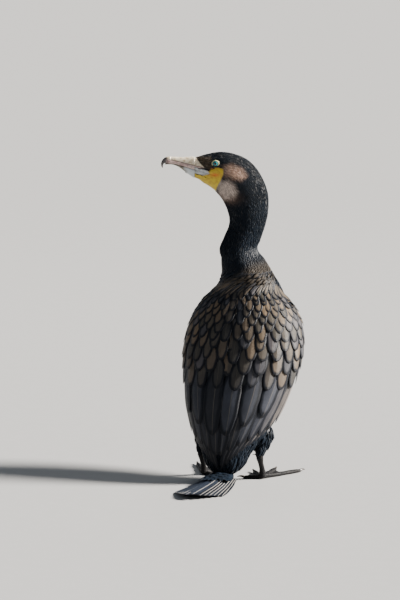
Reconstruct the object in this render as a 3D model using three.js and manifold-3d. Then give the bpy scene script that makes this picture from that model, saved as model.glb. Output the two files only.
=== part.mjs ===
// A great cormorant standing upright, its head turned over the left shoulder.
// Millimetres, +Z up. The breast faces +Y and the bird's right side is at +X.
import * as THREE from "three";
import { mergeVertices } from "three/addons/utils/BufferGeometryUtils.js";
import Module from "manifold-3d";

const wasm = await Module();
wasm.setup();

// Driving sizes
const GAP = 0.3; // between nodes that touch
const SHIFT = { x: 17.2, y: 79.1 }; // moves the middle of the bird's box over the origin
const HEAD_TURN = 200; // the way the bill points, in degrees from +X, round to the left
const NECK_DEPTH = 42; // how far in front of the body's origin the neck stands
const EYE = { along: 42.9, up: 541.5, radius: 6.2, proud: 1.6 };
const LID = { ring: 5.4, thick: 1.15 };
const NOSTRIL = { along: 89, up: 540.2, across: 8.7, radii: [3.4, 0.9, 0.55] };
const BILL_BASE = 80; // where the horn of the bill starts, along the way it points
const SKIN_STEPS = { body: 1.5, neck: 1.75 }; // rings for each station
const SIDES = { skin: 32, bill: 16, hook: 12, stump: 12, leg: 14, tarsus: 10, toe: 7, claw: 6 };
const NECK_CUTS = { base: 12.2, middle: 15.5, head: 18.2 };
const WING = { bottom: 104, top: 322, inner: 7, depth: 2.4, thin: 1.4, thicker: 5.4 }; // its flesh
const VANE = { thick: 0.9, edge: 0.55, ridge: 0.25, step: 1.2 }; // step: how far each clears the next
const TAIL = { root: [0, -92, 17], slope: 5.6, length: 166, shorter: 7.5, pairs: 7, half: 10 };
const TAIL_STACK = { level: 1.3, floor: 0.4, apart: 3, splay: 1.2, blend: 2 };
const TAIL_COVERTS = { count: 4, half: 8, from: -4, reach: 58, apart: 15, splay: 14 };
const LEG = { x: 54, ankle: [-50, 46], foot: [-36, 11] }; // [y, height] of each joint
const WEB = { hollow: 0.2, thick: 1.5, sag: 0.5 };
const CLAW = { length: 12, rise: 2.2 };
const ROOM = 60; // depth of the blocks that trim the solids, well beyond what they trim

const radians = THREE.MathUtils.degToRad;
const vector = (x, y, z) => new THREE.Vector3(x, y, z);
const clamp01 = (value) => Math.min(1, Math.max(0, value));
const smooth = (value) => clamp01(value) ** 2 * (3 - 2 * clamp01(value));

// Closed meshes and solids

// Joins rings of points, all of one count, into a closed mesh with a fan at each end.
function loft(rings) {
  const count = rings[0].length;
  const points = rings.flat();
  const faces = [];
  for (let r = 0; r + 1 < rings.length; r++) {
    for (let i = 0; i < count; i++) {
      const j = (i + 1) % count;
      const a = r * count + i;
      const b = r * count + j;
      faces.push(a, b, a + count, b, b + count, a + count);
    }
  }
  for (const [ring, flip] of [[0, true], [rings.length - 1, false]]) {
    const middle = points.length;
    const sum = rings[ring].reduce((total, p) => total.add(p), vector(0, 0, 0));
    points.push(sum.divideScalar(count));
    for (let i = 0; i < count; i++) {
      const a = ring * count + i;
      const b = ring * count + ((i + 1) % count);
      if (flip) faces.push(middle, b, a);
      else faces.push(middle, a, b);
    }
  }
  const geometry = new THREE.BufferGeometry().setFromPoints(points);
  geometry.setIndex(faces);
  return geometry;
}

function signedVolume(position, index) {
  const [a, b, c] = [vector(), vector(), vector()];
  let total = 0;
  for (let i = 0; i < index.count; i += 3) {
    a.fromBufferAttribute(position, index.getX(i));
    b.fromBufferAttribute(position, index.getX(i + 1));
    c.fromBufferAttribute(position, index.getX(i + 2));
    total += a.dot(b.cross(c)) / 6;
  }
  return total;
}

// A closed three.js geometry as a solid whose faces point out.
function solid(geometry) {
  const bare = geometry.clone();
  bare.deleteAttribute("normal");
  bare.deleteAttribute("uv");
  const merged = mergeVertices(bare, 1e-4);
  const triVerts = new Uint32Array(merged.index.array);
  if (signedVolume(merged.attributes.position, merged.index) < 0) {
    for (let i = 0; i < triVerts.length; i += 3) {
      [triVerts[i + 1], triVerts[i + 2]] = [triVerts[i + 2], triVerts[i + 1]];
    }
  }
  const vertProperties = new Float32Array(merged.attributes.position.array);
  return new wasm.Manifold(new wasm.Mesh({ numProp: 3, vertProperties, triVerts }));
}

const joined = (solids) => solids.reduce((all, next) => all.add(next));

// The largest closed body of a solid, so that no loose scrap stays.
function largest(made) {
  return made.decompose().sort((a, b) => b.volume() - a.volume())[0];
}

// One finish for each kind of surface on the bird.
const finish = (color, roughness) =>
  new THREE.MeshStandardMaterial({ color, roughness, metalness: 0, side: THREE.DoubleSide });
const finishes = {
  gloss_black: finish(0x10151c, 0.42),
  bronze: finish(0x54493d, 0.5),
  horn: finish(0xb9ab98, 0.35),
  gular: finish(0xc99a1c, 0.45),
  eye: finish(0x1f6f74, 0.08),
  leg: finish(0x17181a, 0.5),
  claw: finish(0x1c1a18, 0.35),
};

const parts = new THREE.Group();

function addNode(name, made, material) {
  const body = largest(made);
  const mesh = body.getMesh();
  const positions = new Float32Array(mesh.numVert * 3);
  for (let i = 0; i < mesh.numVert; i++) {
    positions.set(mesh.vertProperties.subarray(i * mesh.numProp, i * mesh.numProp + 3), i * 3);
  }
  const geometry = new THREE.BufferGeometry();
  geometry.setAttribute("position", new THREE.BufferAttribute(positions, 3));
  geometry.setIndex(new THREE.BufferAttribute(mesh.triVerts, 1));
  const node = new THREE.Mesh(geometry, finishes[material]);
  node.name = name;
  parts.add(node);
}

// The skin: one smooth tube from the vent to the base of the bill

// The neck and head lie in one upright plane. along runs the way the bill points.
const billWay = vector(Math.cos(radians(HEAD_TURN)), Math.sin(radians(HEAD_TURN)), 0);
const headSide = vector(-billWay.y, billWay.x, 0); // the head's right-hand side
const neckRoot = vector(headSide.x, headSide.y, 0).multiplyScalar(-NECK_DEPTH);
const inHeadPlane = (along, up, across = 0) =>
  neckRoot.clone().addScaledVector(billWay, along).addScaledVector(headSide, across).setZ(up);

// Each station is a ring: its middle, the way its front faces, how far the front tips down,
// and its reach to the side, front and back.
function bodyRing(y, up, side, front, back) {
  return { at: vector(0, y, up), turn: 90, tilt: 0, side, front, back };
}

function neckRing(along, up, turn, tilt, side, front, back) {
  return { at: inHeadPlane(along, up), turn, tilt, side, front, back };
}

const stations = [
  bodyRing(-80, 15, 12, 8, 10),
  bodyRing(-79, 19, 24, 14, 20),
  bodyRing(-75, 32, 37, 22, 30),
  bodyRing(-67, 54, 48, 34, 40),
  bodyRing(-50, 85, 66, 54, 54),
  bodyRing(-26, 130, 86, 72, 66),
  bodyRing(0, 180, 98, 78, 72),
  bodyRing(18, 224, 101, 78, 72),
  bodyRing(30, 262, 95, 70, 66),
  bodyRing(38, 296, 79, 60, 56),
  bodyRing(43, 318, 62, 52, 49),
  neckRing(-14, 338, 118, 0, 50, 48, 49),
  neckRing(-10, 356, 160, 0, 42, 44, 46),
  neckRing(-3, 374, 190, 0, 36, 37, 40),
  neckRing(2, 392, HEAD_TURN, 2, 32, 34, 34),
  neckRing(-5, 412, HEAD_TURN, 3, 30, 33, 33),
  neckRing(-12.5, 434, HEAD_TURN, 0, 29, 33, 33),
  neckRing(-14, 455, HEAD_TURN, -3, 29, 36, 36),
  neckRing(-9, 482, HEAD_TURN, -10, 29, 41, 41),
  neckRing(4, 506, HEAD_TURN, -20, 28, 43, 43),
  neckRing(19, 523, HEAD_TURN, -32, 26.5, 43, 41),
  neckRing(36, 532, HEAD_TURN, -43, 24, 39, 36.5),
  neckRing(53, 537, HEAD_TURN, -53, 19.5, 32, 29.5),
  neckRing(70, 539, HEAD_TURN, -62, 14, 26.5, 19.5),
  neckRing(81, 538.5, HEAD_TURN, -66, 11, 23, 15),
  neckRing(94, 538, HEAD_TURN, -70, 9, 17, 13),
];
const LAST_STATION = stations.length - 1;

// A value of the stations at a place between them, on a smooth curve through all of them.
function between(place, read) {
  const i = Math.min(LAST_STATION - 1, Math.max(0, Math.floor(place)));
  const f = place - i;
  const [p0, p1, p2, p3] = [i - 1, i, i + 1, i + 2].map((k) =>
    read(stations[Math.min(LAST_STATION, Math.max(0, k))]),
  );
  const slope1 = (p2 - p0) / 2;
  const slope2 = (p3 - p1) / 2;
  return (
    p1 * (2 * f ** 3 - 3 * f ** 2 + 1) +
    slope1 * (f ** 3 - 2 * f ** 2 + f) +
    p2 * (-2 * f ** 3 + 3 * f ** 2) +
    slope2 * (f ** 3 - f ** 2)
  );
}

// A point of the skin. angle 0 is the right side, 90 the front and 270 the back, in degrees.
function skinPoint(place, angle, proud = 0) {
  const value = (read) => between(place, read);
  const turn = radians(value((s) => s.turn));
  const tilt = radians(value((s) => s.tilt));
  const front = vector(Math.cos(turn), Math.sin(turn), 0);
  const side = vector(front.y, -front.x, 0);
  front.multiplyScalar(Math.cos(tilt)).setZ(Math.sin(tilt));
  const [c, s] = [Math.cos(radians(angle)), Math.sin(radians(angle))];
  const reach = s > 0 ? value((st) => st.front) : value((st) => st.back);
  return vector(value((st) => st.at.x), value((st) => st.at.y), value((st) => st.at.z))
    .addScaledVector(side, c * (value((st) => st.side) + proud))
    .addScaledVector(front, s * (reach + proud));
}

// The skin between two places on the spine, as a solid with flat ends.
function skin(from, to, proud = 0) {
  const steps = Math.ceil((to - from) * (from < 1 ? SKIN_STEPS.body : SKIN_STEPS.neck));
  const rings = [];
  for (let k = 0; k <= steps; k++) {
    const place = from + ((to - from) * k) / steps;
    const ring = [];
    for (let i = 0; i < SIDES.skin; i++) ring.push(skinPoint(place, (360 * i) / SIDES.skin, proud));
    rings.push(ring);
  }
  return solid(loft(rings));
}

// How much of a station's step is half a gap, so that two lengths meet with a gap between them.
function halfGap(place) {
  const step = 0.01;
  const [a, b] = [skinPoint(place - step, 0), skinPoint(place + step, 0)];
  const axis = (at) => ["x", "y", "z"].map((k) => between(at, (s) => s.at[k]));
  const length = vector(...axis(place - step)).distanceTo(vector(...axis(place + step)));
  return (GAP * step) / Math.min(length, a.distanceTo(b));
}

// Each cut of the neck is the end of one length and the start of the next.
const cutAt = {};
for (const [name, place] of Object.entries(NECK_CUTS)) {
  cutAt[name] = [place - halfGap(place), place + halfGap(place)];
}

// Feather vanes

// A vane is a thin blade with a raised shaft. place(share, across, height) puts a point of it:
// share runs from root to tip, across and height are millimetres from the vane's own middle.
// root is its width there as a share, blunt where the tip starts to round, lean its sideways tilt.
function vane(place, halfWidth, options) {
  const { root = 0.35, blunt = 0.5, lean = 0, shares = [0, 0.5, 0.85, 1] } = options;
  const upper = [];
  const lower = [];
  for (const share of shares) {
    const spread = root + (1 - root) * smooth(share / 0.45);
    const round = share < blunt ? 1 : Math.sqrt(1 - ((share - blunt) / (1 - blunt)) ** 2.4);
    const half = Math.max(halfWidth * spread * round, 0.9);
    const thin = 1 - 0.35 * smooth((share - 0.55) / 0.45);
    for (const side of [-1, 0, 1]) {
      const thick = side === 0 ? VANE.thick * thin : VANE.edge;
      const crest = side === 0 ? VANE.ridge * thin : 0;
      const across = side * half;
      upper.push(place(share, across, lean * across + thick / 2 + crest));
      lower.push(place(share, across, lean * across - thick / 2));
    }
  }
  return solid(slab(upper, lower, shares.length - 1, 2));
}

// A map onto the side of the body. Seen from behind, across runs away from the spine.
// round is the angle from the middle of the back, and hand is 1 on the right, -1 on the left.
function bodyPoint(up, round, height, hand) {
  const place = placeAtHeight(up);
  const angle = 270 + hand * round;
  const here = skinPoint(place, angle);
  const alongSide = skinPoint(place, angle + 0.5).sub(skinPoint(place, angle - 0.5));
  const alongSpine = skinPoint(place + 0.02, angle).sub(skinPoint(place - 0.02, angle));
  const outward = alongSide.cross(alongSpine).normalize();
  return here.addScaledVector(outward, height);
}

// The place on the spine whose ring is at a height. Only the torso's rings are level.
function placeAtHeight(up) {
  let [low, high] = [0, 12];
  for (let k = 0; k < 24; k++) {
    const middle = (low + high) / 2;
    if (between(middle, (s) => s.at.z) < up) low = middle;
    else high = middle;
  }
  return (low + high) / 2;
}

// A vane that lies on the body from its root to its tip, each given as [height, angle round, lift].
function bodyVane(root, tip, halfWidth, hand, options) {
  const middleLine = (share) => [
    root[0] + (tip[0] - root[0]) * share,
    root[1] + (tip[1] - root[1]) * share,
    root[2] + (tip[2] - root[2]) * Math.max(share, 0) ** 0.7,
  ];
  const place = (share, across, height) => {
    const [up, round, lift] = middleLine(share);
    const [upAfter, roundAfter] = middleLine(share + 0.02);
    const here = bodyPoint(up, round, lift, hand);
    const along = bodyPoint(upAfter, roundAfter, lift, hand).sub(here).normalize();
    const perDegree = bodyPoint(up, round + 1, lift, hand).sub(here);
    const perUp = bodyPoint(up + 1, round, lift, hand).sub(here);
    const sideways = perDegree.clone().normalize();
    sideways.addScaledVector(along, -sideways.dot(along)).normalize().multiplyScalar(across);
    const degrees = sideways.dot(perDegree) / perDegree.lengthSq();
    const rise = sideways.sub(perDegree.clone().multiplyScalar(degrees)).dot(perUp) / perUp.lengthSq();
    return bodyPoint(up + rise, round + degrees, lift + height, hand);
  };
  return vane(place, halfWidth, options);
}

// Torso, neck and head

const torsoSkin = skin(0, cutAt.base[0]);
const torsoGrown = skin(0, cutAt.base[0], GAP);

addNode("torso", torsoSkin, "gloss_black");
addNode("neck_lower", skin(cutAt.base[1], cutAt.middle[0]), "gloss_black");
addNode("neck_upper", skin(cutAt.middle[1], cutAt.head[0]), "gloss_black");

// A prism across the head, from an outline of [along, up] points.
function acrossHead(outline, halfWidth) {
  const shape = new THREE.Shape(outline.map(([along, up]) => new THREE.Vector2(along, up)));
  const geometry = new THREE.ExtrudeGeometry(shape, { depth: 2 * halfWidth, bevelEnabled: false });
  geometry.translate(0, 0, -halfWidth);
  const basis = new THREE.Matrix4().makeBasis(billWay, vector(0, 0, 1), headSide.clone().negate());
  basis.setPosition(neckRoot);
  return solid(geometry.applyMatrix4(basis));
}

// The line of the mouth, from under the eye to the tip of the bill.
const mouth = [
  [44, 521.5],
  [56, 524.5],
  [70, 528],
  [84, 531.5],
  [98, 535.5],
  [112, 539],
  [124, 540.5],
  [150, 541],
];
const HEAD_HALF = 60;
const lift = (points, by) => points.map(([along, up]) => [along, up + by]);
const belowMouth = (by) => [...lift(mouth, by), [150, 440], [44, 440]];

// The bill is one tapered form split along the mouth. The upper half ends in a hook.
// Each station is [along, up, reach below, reach above, half width].
const billStations = [
  [76, 540.5, 29, 12.3, 11.8],
  [84, 541.5, 24.7, 10.8, 9.8],
  [96, 543, 17.4, 8.4, 7.3],
  [108, 544.5, 10.2, 7, 5.6],
  [118, 545.8, 7.8, 6.2, 4.9],
  [126, 546, 7.6, 6, 4.4],
  [132, 544.5, 6.4, 5.2, 3.4],
];

function billForm() {
  const ring = ([along, up, below, above, half]) =>
    Array.from({ length: SIDES.bill }, (_, i) => {
      const a = (2 * Math.PI * i) / SIDES.bill;
      const rise = Math.sin(a) > 0 ? above : below;
      return inHeadPlane(along + 0.12 * rise * Math.sin(a), up + rise * Math.sin(a), half * Math.cos(a));
    });
  return solid(loft(billStations.map(ring)));
}

function hook() {
  // [along, up, half width, half thickness]
  const line = [
    [121, 548.2, 3.9, 4.2],
    [127.5, 547.6, 3.8, 4.1],
    [132.5, 544.4, 3.2, 3.6],
    [135.4, 540.2, 2.4, 2.5],
    [136, 535.8, 1.5, 1.5],
    [134.8, 532.4, 0.5, 0.5],
  ];
  const rings = line.map(([along, up, half, thick], i) => {
    const [before, after] = [line[Math.max(0, i - 1)], line[Math.min(line.length - 1, i + 1)]];
    const way = new THREE.Vector2(after[0] - before[0], after[1] - before[1]).normalize();
    return Array.from({ length: SIDES.hook }, (_, k) => {
      const a = (2 * Math.PI * k) / SIDES.hook;
      const out = thick * Math.sin(a);
      return inHeadPlane(along - way.y * out, up + way.x * out, half * Math.cos(a));
    });
  });
  return solid(loft(rings));
}

// A smooth drop along the head's own axes, for the nostril slits and the eyes.
function headBall(along, up, across, radii, sides = 12) {
  const geometry = new THREE.SphereGeometry(1, sides, sides - 4);
  geometry.scale(...radii);
  const basis = new THREE.Matrix4().makeBasis(billWay, headSide, vector(0, 0, 1));
  basis.setPosition(inHeadPlane(along, up, across));
  return solid(geometry.applyMatrix4(basis));
}

// How far the skin of the head stands out sideways at a point of its profile.
function headHalfWidth(along, up) {
  let [low, high] = [0, 60];
  const inside = (across) => {
    const p = inHeadPlane(along, up, across);
    return headWhole.intersect(tinyBall(p)).volume() > 0;
  };
  for (let k = 0; k < 12; k++) {
    const middle = (low + high) / 2;
    if (inside(middle)) low = middle;
    else high = middle;
  }
  return low;
}

function tinyBall(at) {
  const geometry = new THREE.OctahedronGeometry(0.05);
  return solid(geometry.translate(at.x, at.y, at.z));
}

const headWhole = skin(cutAt.head[1], LAST_STATION);

// The bare skin of the throat, below the line of the mouth.
const gularOutline = [
  [44.5, 522],
  [56, 524.7],
  [70, 528.2],
  [90, 533.5],
  [96, 504],
  [44, 484],
  [30, 494],
  [27, 506],
  [31, 516],
];

// An outline moved outwards from its middle, far enough that every side clears the distance.
function growOutline(outline, by) {
  const mean = (k) => outline.reduce((sum, point) => sum + point[k], 0) / outline.length;
  const [middleAlong, middleUp] = [mean(0), mean(1)];
  return outline.map(([along, up]) => {
    const [a, b] = [along - middleAlong, up - middleUp];
    const grown = (1.6 * by) / Math.hypot(a, b);
    return [along + a * grown, up + b * grown];
  });
}

const gularRoom = acrossHead(gularOutline, HEAD_HALF);
const gularGrown = acrossHead(growOutline(gularOutline, GAP), HEAD_HALF);

const eyeReach = headHalfWidth(EYE.along, EYE.up);
const eyeAcross = eyeReach + EYE.proud - EYE.radius;

function eyeBall(hand, radius) {
  return headBall(EYE.along, EYE.up, hand * eyeAcross, [radius, radius, radius]);
}

// The bare, slightly raised rim of both lids.
function lidRing(hand) {
  const geometry = new THREE.TorusGeometry(LID.ring, LID.thick, 5, 14);
  const basis = new THREE.Matrix4().makeBasis(billWay, vector(0, 0, 1), headSide.clone().negate());
  basis.setPosition(inHeadPlane(EYE.along, EYE.up, hand * (eyeReach - 0.1)));
  return solid(geometry.applyMatrix4(basis));
}

// All of the head's room on one side of a cut across the bill.
function headRoom(from, to) {
  return acrossHead([[from, 600], [from, 440], [to, 440], [to, 600]], HEAD_HALF);
}

const bill = billForm();
const beforeBill = headRoom(BILL_BASE, 200);
const behindBill = headRoom(BILL_BASE + GAP, -80);

let head = headWhole.subtract(beforeBill).subtract(gularGrown);
for (const hand of [1, -1]) head = head.add(lidRing(hand));
for (const hand of [1, -1]) head = head.subtract(eyeBall(hand, EYE.radius + GAP));
addNode("head", head, "gloss_black");
addNode("gular_pouch", headWhole.subtract(beforeBill).intersect(gularRoom), "gular");

const upperHalf = acrossHead(belowMouth(GAP / 2), HEAD_HALF);
const lowerHalf = acrossHead(belowMouth(-GAP / 2), HEAD_HALF);
let billUpper = bill.subtract(upperHalf).add(hook());
for (const hand of [1, -1]) {
  const slit = headBall(NOSTRIL.along, NOSTRIL.up, hand * NOSTRIL.across, NOSTRIL.radii, 8);
  billUpper = billUpper.subtract(slit);
}
billUpper = billUpper.subtract(behindBill);
const hookGrown = joined([hook(), hook().translate([0, 0, -GAP])]);
addNode("bill_upper", billUpper, "horn");
addNode("bill_lower", bill.intersect(lowerHalf).subtract(behindBill).subtract(hookGrown), "horn");
addNode("eye_right", eyeBall(1, EYE.radius), "eye");
addNode("eye_left", eyeBall(-1, EYE.radius), "eye");

// Wings

// The angle round from the spine to the wing's front edge, at each height.
const frontEdge = [
  [28, 14],
  [40, 44],
  [66, 70],
  [100, 96],
  [130, 108],
  [180, 116],
  [230, 120],
  [270, 116],
  [300, 98],
  [322, 66],
];

function edgeAngle(up) {
  const k = frontEdge.findIndex(([height]) => height >= up);
  if (k <= 0) return frontEdge[k === 0 ? 0 : frontEdge.length - 1][1];
  const [[a, from], [b, to]] = [frontEdge[k - 1], frontEdge[k]];
  return from + ((to - from) * (up - a)) / (b - a);
}

// The fleshy wing under the feathers, thickest in its middle.
function wingCore(hand) {
  const { bottom, top, inner, depth } = WING;
  const [rows, columns] = [8, 7];
  const outerSide = [];
  const innerSide = [];
  for (let r = 0; r <= rows; r++) {
    const up = bottom + ((top - bottom) * r) / rows;
    const fuller = smooth((up - bottom) / 110) * (1 - 0.6 * smooth((up - 270) / 50));
    const thick = WING.thin + WING.thicker * fuller;
    for (let c = 0; c <= columns; c++) {
      const share = c / columns;
      const round = inner + (edgeAngle(up) - inner) * share;
      const crown = 0.6 + 0.4 * Math.sin(Math.PI * share) ** 0.5;
      outerSide.push(bodyPoint(up, round, thick * crown, hand));
      innerSide.push(bodyPoint(up, round, -depth, hand));
    }
  }
  return solid(slab(outerSide, innerSide, rows, columns));
}

// The tiers of a wing, lowest first. Each pair of values is for the feather next to the spine
// and for the one at the wing's front edge: heights, angles round and half widths.
const tiers = [
  {
    name: "primaries", count: 6, half: [8.5, 8], blunt: 0.3, shares: [0, 0.35, 0.65, 0.88, 1],
    root: { up: [150, 156], round: [48, 103], lift: 1.9 },
    tip: { up: [28, 78], round: [11, 70], lift: 2 },
  },
  {
    name: "secondaries", count: 6, half: [12, 11], blunt: 0.6,
    root: { up: [170, 178], round: [14, 102], lift: 2.8 },
    tip: { up: [60, 102], round: [13, 88], lift: 5.4 },
  },
  {
    name: "greater coverts", count: 6, half: [16, 14], blunt: 0.6,
    root: { up: [222, 214], round: [15, 107], lift: 3 },
    tip: { up: [158, 148], round: [15, 103], lift: 6.8 },
  },
  {
    name: "median coverts", count: 6, half: [17, 15], blunt: 0.6,
    root: { up: [264, 254], round: [15, 110], lift: 3 },
    tip: { up: [207, 198], round: [15, 108], lift: 8.8 },
  },
  {
    name: "scapulars", count: 5, half: [18, 16], blunt: 0.6,
    root: { up: [304, 288], round: [16, 100], lift: 2.6 },
    tip: { up: [252, 244], round: [16, 104], lift: 8.8 },
  },
];

function tierVanes(tier, hand) {
  const mix = ([first, last], share) => first + (last - first) * share;
  const at = (end, share) => [mix(end.up, share), mix(end.round, share), end.lift];
  const tipWidth = bodyPoint(...at(tier.tip, 0), hand).distanceTo(bodyPoint(...at(tier.tip, 1), hand));
  const rootWidth = bodyPoint(...at(tier.root, 0), hand).distanceTo(bodyPoint(...at(tier.root, 1), hand));
  const lean = VANE.step / ((tipWidth + rootWidth) / 2 / (tier.count - 1));
  return Array.from({ length: tier.count }, (_, k) => {
    const share = k / (tier.count - 1);
    const options = { blunt: tier.blunt, shares: tier.shares, lean };
    return bodyVane(at(tier.root, share), at(tier.tip, share), mix(tier.half, share), hand, options);
  });
}

// Closes two grids of points, one over the other, into one slab.
function slab(upper, lower, rows, columns) {
  const points = [...upper, ...lower];
  const faces = [];
  const wide = columns + 1;
  const under = upper.length;
  for (let r = 0; r < rows; r++) {
    for (let c = 0; c < columns; c++) {
      const a = r * wide + c;
      const [b, d, e] = [a + 1, a + wide, a + wide + 1];
      faces.push(a, b, d, b, e, d);
      faces.push(under + a, under + d, under + b, under + b, under + d, under + e);
    }
  }
  const rim = [];
  for (let c = 0; c < columns; c++) rim.push(c);
  for (let r = 0; r < rows; r++) rim.push(r * wide + columns);
  for (let c = columns; c > 0; c--) rim.push(rows * wide + c);
  for (let r = rows; r > 0; r--) rim.push(r * wide);
  rim.forEach((a, i) => {
    const b = rim[(i + 1) % rim.length];
    faces.push(a, under + a, b, b, under + a, under + b);
  });
  const geometry = new THREE.BufferGeometry().setFromPoints(points);
  geometry.setIndex(faces);
  return geometry;
}

for (const [side, hand] of [["right", 1], ["left", -1]]) {
  const feathers = tiers.flatMap((tier) => tierVanes(tier, hand));
  addNode("wing_" + side, joined([wingCore(hand), ...feathers]).subtract(torsoGrown), "bronze");
}

// Tail, laid back on the floor

// A point of the tail: along runs back from its root, level counts the feathers lying beneath
// the topmost, and height is millimetres off that feather. Each feather slopes down to the ones
// under it, which lie flat on the floor.
function tailPoint(along, across, level, height) {
  const [x, y, z] = TAIL.root;
  const sloping = z - along * Math.tan(radians(TAIL.slope)) - TAIL_STACK.level * level;
  const resting = TAIL_STACK.floor + TAIL_STACK.level * (TAIL.pairs - level);
  const higher = (sloping + resting + Math.hypot(sloping - resting, TAIL_STACK.blend)) / 2;
  return vector(x + across, y - along, higher + height);
}

// The flesh that carries the tail's feathers.
function tailCore() {
  // [along, half width, half thickness]
  const line = [
    [-8, 12, 5],
    [2, 22, 6.6],
    [14, 24, 6.6],
    [28, 23, 5.6],
    [42, 20, 4],
    [54, 14, 1.6],
  ];
  const rings = line.map(([along, half, thick]) =>
    Array.from({ length: SIDES.stump }, (_, i) => {
      const a = (2 * Math.PI * i) / SIDES.stump;
      return tailPoint(along, half * Math.cos(a), 3.5, thick * Math.sin(a));
    }),
  );
  return solid(loft(rings));
}

// A tail feather of one pair. The middle pair lies on top, the right one over the left.
function tailVane(pair, hand) {
  const level = pair === 0 && hand > 0 ? 0 : pair + 1;
  const length = TAIL.length - TAIL.shorter * pair;
  const splay = hand * radians(1 + TAIL_STACK.splay * pair);
  const start = hand * (1.5 + TAIL_STACK.apart * pair);
  const place = (share, across, height) => {
    const along = share * length;
    const x = start + along * Math.sin(splay) + across;
    const inward = pair === 0 ? x : hand * Math.max(hand * x, GAP);
    return tailPoint(along * Math.cos(splay), inward, level, height);
  };
  return vane(place, TAIL.half, { blunt: 0.72, root: 0.5, shares: [0, 0.5, 0.7, 0.92, 1] });
}

// The coverts lie over the roots of the tail feathers. side runs from -1 to 1 across the tail.
function tailCovert(side) {
  const { half, from, reach, apart, splay } = TAIL_COVERTS;
  const outward = Math.sin(radians(splay * side));
  const place = (share, across, height) => {
    const along = from + share * (reach - 10 * Math.abs(side));
    const rise = 2.6 * Math.max(share, 0) ** 0.6 - 3 * Math.abs(side);
    const leaning = -0.12 * across * Math.sign(side);
    return tailPoint(along, apart * side + along * outward + across, 0, rise + leaning + height);
  };
  return vane(place, half, {});
}

// A block of room for trimming, centred over x and y, whose top is at a height.
function blockBelow(x, y, top) {
  return solid(new THREE.BoxGeometry(300, 300, ROOM).translate(x, y, top - ROOM / 2));
}
const blockAbove = (x, y, bottom) => blockBelow(x, y, bottom + ROOM);

const underFloor = solid(new THREE.BoxGeometry(900, 900, ROOM).translate(0, 0, -ROOM / 2));
const tailFeathers = [];
for (let pair = 0; pair < TAIL.pairs; pair++) {
  for (const hand of [1, -1]) tailFeathers.push(tailVane(pair, hand));
}
for (let k = 0; k < TAIL_COVERTS.count; k++) {
  tailFeathers.push(tailCovert((2 * k) / (TAIL_COVERTS.count - 1) - 1));
}
const tail = joined([tailCore(), ...tailFeathers]);
addNode("tail", tail.subtract(underFloor).subtract(torsoGrown), "gloss_black");

// Legs and webbed feet

// A round limb through a list of [x, y, z, radius] points.
function limb(line, sides = SIDES.leg) {
  const rings = line.map(([x, y, z, radius], i) => {
    const [before, after] = [line[Math.max(0, i - 1)], line[Math.min(line.length - 1, i + 1)]];
    const way = vector(after[0] - before[0], after[1] - before[1], after[2] - before[2]).normalize();
    const hint = Math.abs(way.z) > 0.8 ? vector(0, 1, 0) : vector(0, 0, 1);
    const side = vector(0, 0, 0).crossVectors(way, hint).normalize();
    const over = vector(0, 0, 0).crossVectors(side, way);
    return Array.from({ length: sides }, (_, k) => {
      const a = (2 * Math.PI * k) / sides;
      return vector(x, y, z)
        .addScaledVector(side, radius * Math.cos(a))
        .addScaledVector(over, radius * Math.sin(a));
    });
  });
  return solid(loft(rings));
}

// Toes of the right foot: the way they point from +Y outwards in degrees, length and radius.
const toes = [
  { name: "hind", way: -104, length: 33, radius: 4 },
  { name: "inner", way: -34, length: 58, radius: 4.4 },
  { name: "middle", way: -3, length: 82, radius: 4.8 },
  { name: "outer", way: 27, length: 92, radius: 4.8 },
];

function toeEnd(toe, hand, share = 1) {
  const a = radians(toe.way);
  return [
    hand * (LEG.x + Math.sin(a) * toe.length * share),
    LEG.foot[0] + Math.cos(a) * toe.length * share,
  ];
}

function toeForm(toe, hand) {
  const line = [-0.02, 0.26, 0.4, 0.56, 0.7, 1].map((share, i) => {
    const [x, y] = toeEnd(toe, hand, share);
    const knuckle = [1.1, 0.88, 1.02, 0.82, 0.92, 0.6][i];
    return [x, y, 3.2 - 0.8 * share + 2.6 * (1 - smooth(share * 3)), toe.radius * knuckle];
  });
  return limb(line, SIDES.toe);
}

// The web between two neighbouring toes: a thin sheet with a hollow front edge.
function webForm(a, b, hand) {
  const steps = 4;
  const upper = [];
  const lower = [];
  for (let k = 0; k <= steps; k++) {
    const share = k / steps;
    const hollow = 0.96 - WEB.hollow * Math.sin(Math.PI * share);
    const way = radians(a.way + (b.way - a.way) * share);
    const reach = (a.length + (b.length - a.length) * share) * hollow;
    for (const [part, height] of [[0.04, 4.6], [0.5, 2.9], [1, 1.9]]) {
      const x = hand * (LEG.x + Math.sin(way) * reach * part);
      const y = LEG.foot[0] + Math.cos(way) * reach * part;
      const sag = WEB.sag * Math.sin(Math.PI * share) * part;
      upper.push(vector(x, y, height - sag));
      lower.push(vector(x, y, height - sag - WEB.thick));
    }
  }
  return solid(slab(upper, lower, steps, 2));
}

function clawForm(toe, hand, grown) {
  const start = (toe.length + GAP) / toe.length;
  const line = [0, 0.35, 0.7, 1].map((share, i) => {
    const [x, y] = toeEnd(toe, hand, start + (CLAW.length * share) / toe.length);
    const radius = [2.4, 2, 1.3, 0.35][i] + grown;
    return [x, y, 2.9 + CLAW.rise * Math.sin(Math.PI * share * 0.8) - 1.4 * share, radius];
  });
  return limb(line, SIDES.claw);
}

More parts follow.
